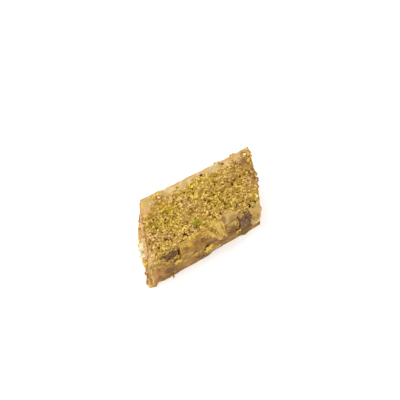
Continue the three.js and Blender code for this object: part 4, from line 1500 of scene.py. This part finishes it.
# Side, share along it from front or left, height, radius and colour of single bits on the sides.
SIDE_ACCENTS = [
    ("front", 0.868, 12.6, 1.25, PURPLE), ("front", 0.85, 1.0, 0.7, GREEN),
    ("front", 0.835, 14.6, 0.6, YELLOW), ("front", 0.772, 16.0, 0.6, YELLOW),
    ("front", 0.182, 15.6, 0.9, PURPLE), ("front", 0.2, 14.8, 0.8, PURPLE),
    ("front", 0.155, 14.9, 0.7, DARK), ("front", 0.22, 15.9, 0.6, PURPLE),
    ("front", 0.135, 14.3, 0.7, YELLOW), ("left", 0.14, 11.5, 0.8, YELLOW),
    ("left", 0.17, 9.5, 0.9, YELLOW), ("left", 0.12, 7.5, 0.7, GREEN), ("left", 0.2, 12.5, 0.7, DARK),
    ("left", 0.46, 9.5, 1.3, YELLOW), ("left", 0.5, 8.2, 1.0, YELLOW), ("right", 0.35, 15.2, 0.9, PURPLE),
    ("right", 0.6, 15.4, 1.1, PURPLE), ("right", 0.48, 16.2, 1.2, PURPLE),
    ("right", 0.54, 16.6, 1.0, GREEN), ("right", 0.42, 17.0, 0.9, PURPLE),
]
print("single bits on the top and on the sides:", len(TOP_ACCENTS), len(SIDE_ACCENTS))

# %% Make the single bits
def accents():
    """Centre, radius and colour number of each single bit."""
    for u, v, radius, colour in TOP_ACCENTS:
        z = max(float(surface_height(u, v)), TOP_SURFACE - 0.2) + 0.5 * radius
        yield (*plan_point(u, v), z), radius, colour
    for side, share, z, radius, colour in SIDE_ACCENTS:
        u, v = {"front": (share, 0.0), "left": (0.0, share), "right": (1.0, share)}[side]
        out = side_push(u, v, z / TOP_SURFACE, 1.0) + (-0.2 if side == "front" else 0.3) * radius
        if side == "front" and z > FILLING_CEILING:
            out = out - 0.45 * broken_away(u)
        yield moved(*plan_point(u, v), way_out(u, v)[0], out, z), radius, colour


centres, radii, hues = (np.array(column) for column in zip(*accents()))
shape = scraps(centres, radii, 2, chance, ((0.65, 0.95), (0.45, 0.75)), tilt=0.4, chips=5)
light = per_point(chance.uniform(0.4, 1, len(centres)), shape)
make_piece("accent_crumbs", flattened(shape, high=HIGHEST), False, hue=per_point(hues, shape), light=light)

# %% [markdown]
# ## Finishes
#
# Pastry that is buttered, baked and soaked is golden and slightly see-through, browner where it is thin,
# and glossy where syrup has gathered. Each finish is a few soft clouds of colour at the sizes at which the
# real thing varies, and a fine bump for what is too small to model. The cut edges are browned with their
# depth behind the cut as painted shade, and lightened at the foot as painted light. Blotches, brown, olive,
# rosy or pale, come as numbers that its mesh holds for each point: some are colours that a leaf took on in
# the tray, and some are painted shade and highlight.

# %% Pastry finish
BAKED = dict(
    specular_ior_level=0.15,
    subsurface_weight=0.12,
    subsurface_scale=0.0012,
    subsurface_radius=(1.0, 0.6, 0.3),
)
FOOT_LIGHT_TOP = 2.1  # up to here the foot is lightest, as painted light on the lip
FOOT_PAINTED_LIGHT = (240, 206, 134)


def pastry(name, light, dark, brown, mottles=(), blotches=None, edge_lines=False, coat=0.15):
    finish = Finish(name, **BAKED)
    small = finish.cloud(1.4, 4.0)
    streaks = finish.cloud(1.0, stretch=(6, 6, 0.35))
    colour = finish.mix(finish.cloud(7.0).clear_of(0.3, 0.7), light, dark)
    colour = finish.mix(small.clear_of(0.55, 0.75) * 0.5, colour, brown)
    for mottle in mottles:
        colour = finish.mottle(colour, *mottle)
    colour = finish.blotch(colour, blotches or {})
    colour = finish.shade(colour, 0.82 + 0.36 * streaks)
    if edge_lines:
        height = finish.add("ShaderNodeSeparateXYZ", {}, {0: finish.place}, "Z")
        # Painted light: the foot of each stack is lightened, as where its lip catches the light.
        colour = finish.mix((1 - height.clear_of(FOOT_LIGHT_TOP * MM, 2 * FOOT_LIGHT_TOP * MM)) * 0.8, colour, FOOT_PAINTED_LIGHT)
        colour = finish.shade(colour, 0.84 + 0.3 * finish.field("tone"))
        # Painted shade: the cut edges are browned the deeper they lie behind the cut.
        colour = finish.mix(finish.field("depth").clear_of(0.1, 0.9) * 0.7, colour, brown)
    return finish.feed(
        base_color=colour,
        roughness=0.38 + 0.3 * finish.cloud(2.2),
        coat_weight=coat * finish.cloud(4.0).clear_of(0.45, 0.65),
        normal=finish.relief(small * 0.6 + streaks * 0.4, 0.12),
    )


# %% Finishes of the leaves
# A mottle is the size of its clouds in millimetres, its strength and its tint.
EDGE_MOTTLES = [(2.7, 0.6, (214, 164, 128)), (1.8, 0.5, (196, 158, 74)), (1.1, 0.35, (124, 86, 50))]
FRONT_MOTTLES = [(2.2, 0.6, (154, 112, 64)), (3.3, 0.5, (178, 142, 46)), (1.6, 0.5, (206, 162, 70))]
FRONT_MOTTLES += [(1.2, 0.4, (100, 66, 30))]
FLAP_MOTTLES = [(1.9, 0.5, (228, 190, 92)), (2.9, 0.5, (176, 138, 38)), (1.2, 0.35, (150, 104, 44))]
BLOTCHES = {"brown": (114, 76, 34), "olive": (144, 112, 28), "rosy": (198, 142, 84), "pale": (230, 196, 120)}
edges = pastry("cut_leaves", (210, 172, 116), (182, 138, 78), (128, 86, 44), EDGE_MOTTLES, edge_lines=True)
# Partly their own brown, partly painted shade: the front, which lies in shade, is painted darker.
hanging = pastry(
    "hanging_leaves", (168, 122, 50), (146, 102, 38), (118, 78, 30), FRONT_MOTTLES, BLOTCHES, coat=0.05
)
torn_leaf = pastry(
    "torn_leaf", (214, 172, 76), (190, 146, 56), (154, 110, 42), FLAP_MOTTLES, BLOTCHES, coat=0.0
)
bulge = pastry("corner_leaf", (214, 180, 108), (194, 156, 84), (160, 120, 60), blotches=BLOTCHES)
flakes = pastry("flakes", (208, 170, 98), (184, 142, 72), (150, 108, 54))
pale = pastry("pale_flakes", (222, 214, 184), (206, 192, 150), (184, 164, 116))
bits = pastry("stuck_bits", (236, 208, 88), (216, 180, 62), (190, 148, 52))
inside = pastry("leaves_inside", (156, 112, 56), (120, 80, 36), (84, 54, 24))

# %% Crumb colours
NUT_FLESH = dict(
    specular_ior_level=0.12,
    subsurface_weight=0.1,
    subsurface_scale=0.0008,
    subsurface_radius=(1.0, 0.7, 0.3),
)
# Colours by the number in the field hue.
LIGHT_CRUMBS = [
    (0.0, (230, 186, 130)), (0.3, (232, 196, 120)), (0.55, (232, 200, 106)), (0.8, (228, 203, 80)),
    (1.0, (196, 188, 60)),
]
# The dark colours serve dark crumbs and the painted shade that the field light holds near the ground.
DARK_AND_SHADED_CRUMBS = [(0.0, (146, 102, 60)), (0.5, (150, 110, 26)), (1.0, (126, 110, 14))]
ACCENT_CRUMBS = [
    (DARK, (84, 50, 30)), (PURPLE, (136, 90, 68)), (GREEN, (140, 136, 36)), (YELLOW, (226, 200, 58)),
    (ORANGE, (236, 172, 56)), (PALE, (240, 224, 166)),
]
CHOPPED_NUTS = [
    (0.0, (102, 66, 50)), (0.3, (136, 95, 60)), (0.5, (156, 116, 74)), (0.7, (172, 136, 78)),
    (0.85, (120, 80, 64)), (1.0, (196, 164, 92)),
]
SKIN = [(0.0, (104, 66, 44)), (0.5, (134, 90, 62)), (1.0, (150, 106, 66))]

# %% Crumb finishes
def crumb_finish(name, stops, low=0.66, high=1.14, dark_stops=None):
    """Crumbs whose field hue gives the colour, which is either shaded by the field light or blended by it."""
    finish = Finish(name, **NUT_FLESH)
    hue, light = finish.field("hue"), finish.field("light")
    colour = finish.ramp(hue, stops)
    grain = finish.cloud(0.5)
    uneven = 0.8 + 0.4 * grain
    if dark_stops:
        colour = finish.shade(finish.mix(light, finish.ramp(hue, dark_stops), colour), uneven)
    else:
        colour = finish.shade(colour, (low + (high - low) * light) * uneven)
    return finish.feed(base_color=colour, roughness=0.42 + 0.3 * grain, normal=finish.relief(grain, 0.08))


topping = crumb_finish("ground_pistachio", LIGHT_CRUMBS, dark_stops=DARK_AND_SHADED_CRUMBS)
accent = crumb_finish("single_crumbs", ACCENT_CRUMBS, 0.85, 1.05)
skin = crumb_finish("pistachio_skin", SKIN)
nuts = crumb_finish("chopped_pistachio", CHOPPED_NUTS)

# %% Finishes of the mat and the mash
TOP_TINTS = {
    "olive": (204, 174, 72), "rosy": (220, 168, 108), "pale": (218, 196, 146), "brown": (132, 94, 50),
}


def topped_leaf():
    """The uppermost leaf: bare pastry, and between the crumbs their finer dust, darkened as painted shade."""
    finish = Finish("topped_leaf", **BAKED)
    bare = finish.mix(finish.cloud(9.0).clear_of(0.35, 0.7), (198, 166, 112), (182, 146, 88))
    bare = finish.mottle(bare, 2.7, 0.5, (196, 168, 84), 0.5, 0.62)
    bare = finish.mottle(bare, 3.6, 0.6, (222, 196, 148), 0.52, 0.64)
    bare = finish.mottle(bare, 1.9, 0.45, (212, 156, 104), 0.56, 0.68)
    bare = finish.shade(bare, 0.84 + 0.32 * finish.cloud(1.2, stretch=(5, 1, 1)))
    bare = finish.blotch(bare, TOP_TINTS)
    dust_and_gap_shade = finish.mix(finish.cells(0.55), (146, 106, 22), (200, 158, 56))
    # Painted shade: the holes and cracks of the mat, and the groove behind the torn flap, are darkest.
    dust_and_gap_shade = finish.mix(finish.field("pit_shade").clear_of(0.1, 0.7), dust_and_gap_shade, (88, 54, 8))
    covered = finish.field("cover").clear_of(0.25, 0.75)
    grain = finish.cloud(0.5)
    return finish.feed(
        base_color=finish.mix(covered, bare, dust_and_gap_shade),
        roughness=0.4 + 0.25 * grain,
        coat_weight=0.15 * (1 - covered) * finish.cloud(3.0).clear_of(0.45, 0.6),
        normal=finish.relief(grain * (0.3 + 0.7 * covered), 0.14),
    )


def mash_finish():
    finish = Finish("nut_mash", subsurface_weight=0.08, subsurface_scale=0.001)
    small = finish.cloud(0.6)
    colour = finish.mix(finish.cloud(2.4, 4.0).clear_of(0.35, 0.65), (108, 72, 44), (134, 94, 56))
    colour = finish.shade(colour, 0.75 + 0.5 * small)
    return finish.feed(base_color=colour, roughness=0.4 + 0.3 * small, normal=finish.relief(small, 0.15))


mat = topped_leaf()
filling = mash_finish()
print("finishes:", [material.name for material in bpy.data.materials])

# %% [markdown]
# ## Give out the finishes
#
# Each piece takes its finish, and the measured solid that it stands for is hidden.

# %% Finish the pieces
LOOKS = {
    "bottom_pastry": {"bottom_leaves": edges, "bottom_core": inside, "bottom_flakes": flakes},
    "nut_filling": {"nut_mash": filling, "mash_heaps": filling, "filling_nuts": nuts, "filling_crumbs": nuts},
    "top_pastry": {
        "top_leaves": edges, "top_core": inside, "top_leaf": mat,
        "long_apron": hanging, "corner_apron": bulge, "corner_wrap": hanging, "torn_flap": torn_leaf,
        "top_flakes": flakes, "pale_flakes": pale, "stuck_bits": bits,
        "coarse_pistachio": topping, "medium_pistachio": topping, "fine_pistachio": topping,
        "spilled_crumbs": topping, "accent_crumbs": accent, "skin_scraps": skin,
    },
}
for layer, looks in LOOKS.items():
    for name, finish in looks.items():
        piece = pieces.pop(name)
        piece.data.materials.clear()
        piece.data.materials.append(finish)
        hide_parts(layer)
print("pieces without a finish:", list(pieces))

# %% [markdown]
# ## Camera, floor and light
#
# The camera looks down steeply, from the front and a little to the left, through a long lens, as one looks at
# a plate of food. The light is soft: a large panel above and behind the left shoulder of the piece, so that
# the back rim is brightest and the front lies in shade, and a pale world that fills the shadows.

# %% Camera
IMAGE = 400  # the picture's width and height in pixels
FOCAL = 1102.4  # the lens's length in those pixels
DISTANCE = 520.0
ELEVATION = math.radians(57)
AZIMUTH = math.radians(-32.2)
CENTRE_PIXEL = (200.0, 217.0)  # where the middle of the piece is seen
PIECE_MIDDLE = PLAN_SHIFT + np.array([-1.1, -1.5, 9.3])


def facing(way):
    """The turn that makes a camera or a light face a way."""
    return Vector(way).to_track_quat("-Z", "Y").to_euler()


level = math.cos(ELEVATION)
forward = np.array([-math.sin(AZIMUTH) * level, math.cos(AZIMUTH) * level, -math.sin(ELEVATION)])
right = np.array([math.cos(AZIMUTH), math.sin(AZIMUTH), 0])
across, down = ((pixel - IMAGE / 2) / FOCAL for pixel in CENTRE_PIXEL)
ray = forward + across * right - down * np.cross(right, forward)
eye = PIECE_MIDDLE - DISTANCE * ray / np.linalg.norm(ray)
lens = bpy.data.cameras.new("camera")
lens.sensor_width = 36.0
lens.lens = FOCAL / IMAGE * lens.sensor_width
lens.clip_start = 0.01
camera = placed("camera", lens)
camera.location = Vector(eye * MM)
camera.rotation_euler = facing(forward)
bpy.context.scene.camera = camera
print("camera at mm:", eye.round(1))

# %% Floor
REACH = 3.0  # metres from the piece to the floor's edge
corners = [(x * REACH, y * REACH, 0) for x, y in ((-1, -1), (1, -1), (1, 1), (-1, 1))]
floor_mesh = bpy.data.meshes.new("floor")
floor_mesh.from_pydata(corners, [], [range(4)])
floor = placed("floor", floor_mesh)
floor.location.z = -0.00005  # just clear of the piece's foot
PALE_GREY = srgb(246, 246, 246)
GLOW = dict(emission_color=(1, 1, 1, 1), emission_strength=0.45)  # as a lit table lightens what lies on it
white = Finish("floor", roughness=0.9, base_color=PALE_GREY, **GLOW)
floor_mesh.materials.append(white.material)

# %% Lights
AIM = Vector((0, 0, 0.01))


def panel(name, at, size, power, colour):
    """A square soft light that faces the middle of the piece."""
    lamp = bpy.data.lights.new(name, "AREA")
    lamp.size = size
    lamp.energy = power
    lamp.color = colour
    holder = placed(name, lamp)
    holder.location = at
    holder.rotation_euler = facing(AIM - Vector(at))


panel("key", at=(-0.35, 0.35, 0.75), size=0.7, power=7.0, colour=(1.0, 0.98, 0.95))
panel("fill", at=(-0.2, -0.8, 0.6), size=0.8, power=1.2, colour=(1.0, 1.0, 1.0))
world = bpy.data.worlds.new("world")
world.use_nodes = True
sky = world.node_tree.nodes["Background"].inputs
sky["Color"].default_value = (1, 1, 1, 1)
sky["Strength"].default_value = 0.6
bpy.context.scene.world = world
bpy.context.scene.view_settings.view_transform = "Standard"
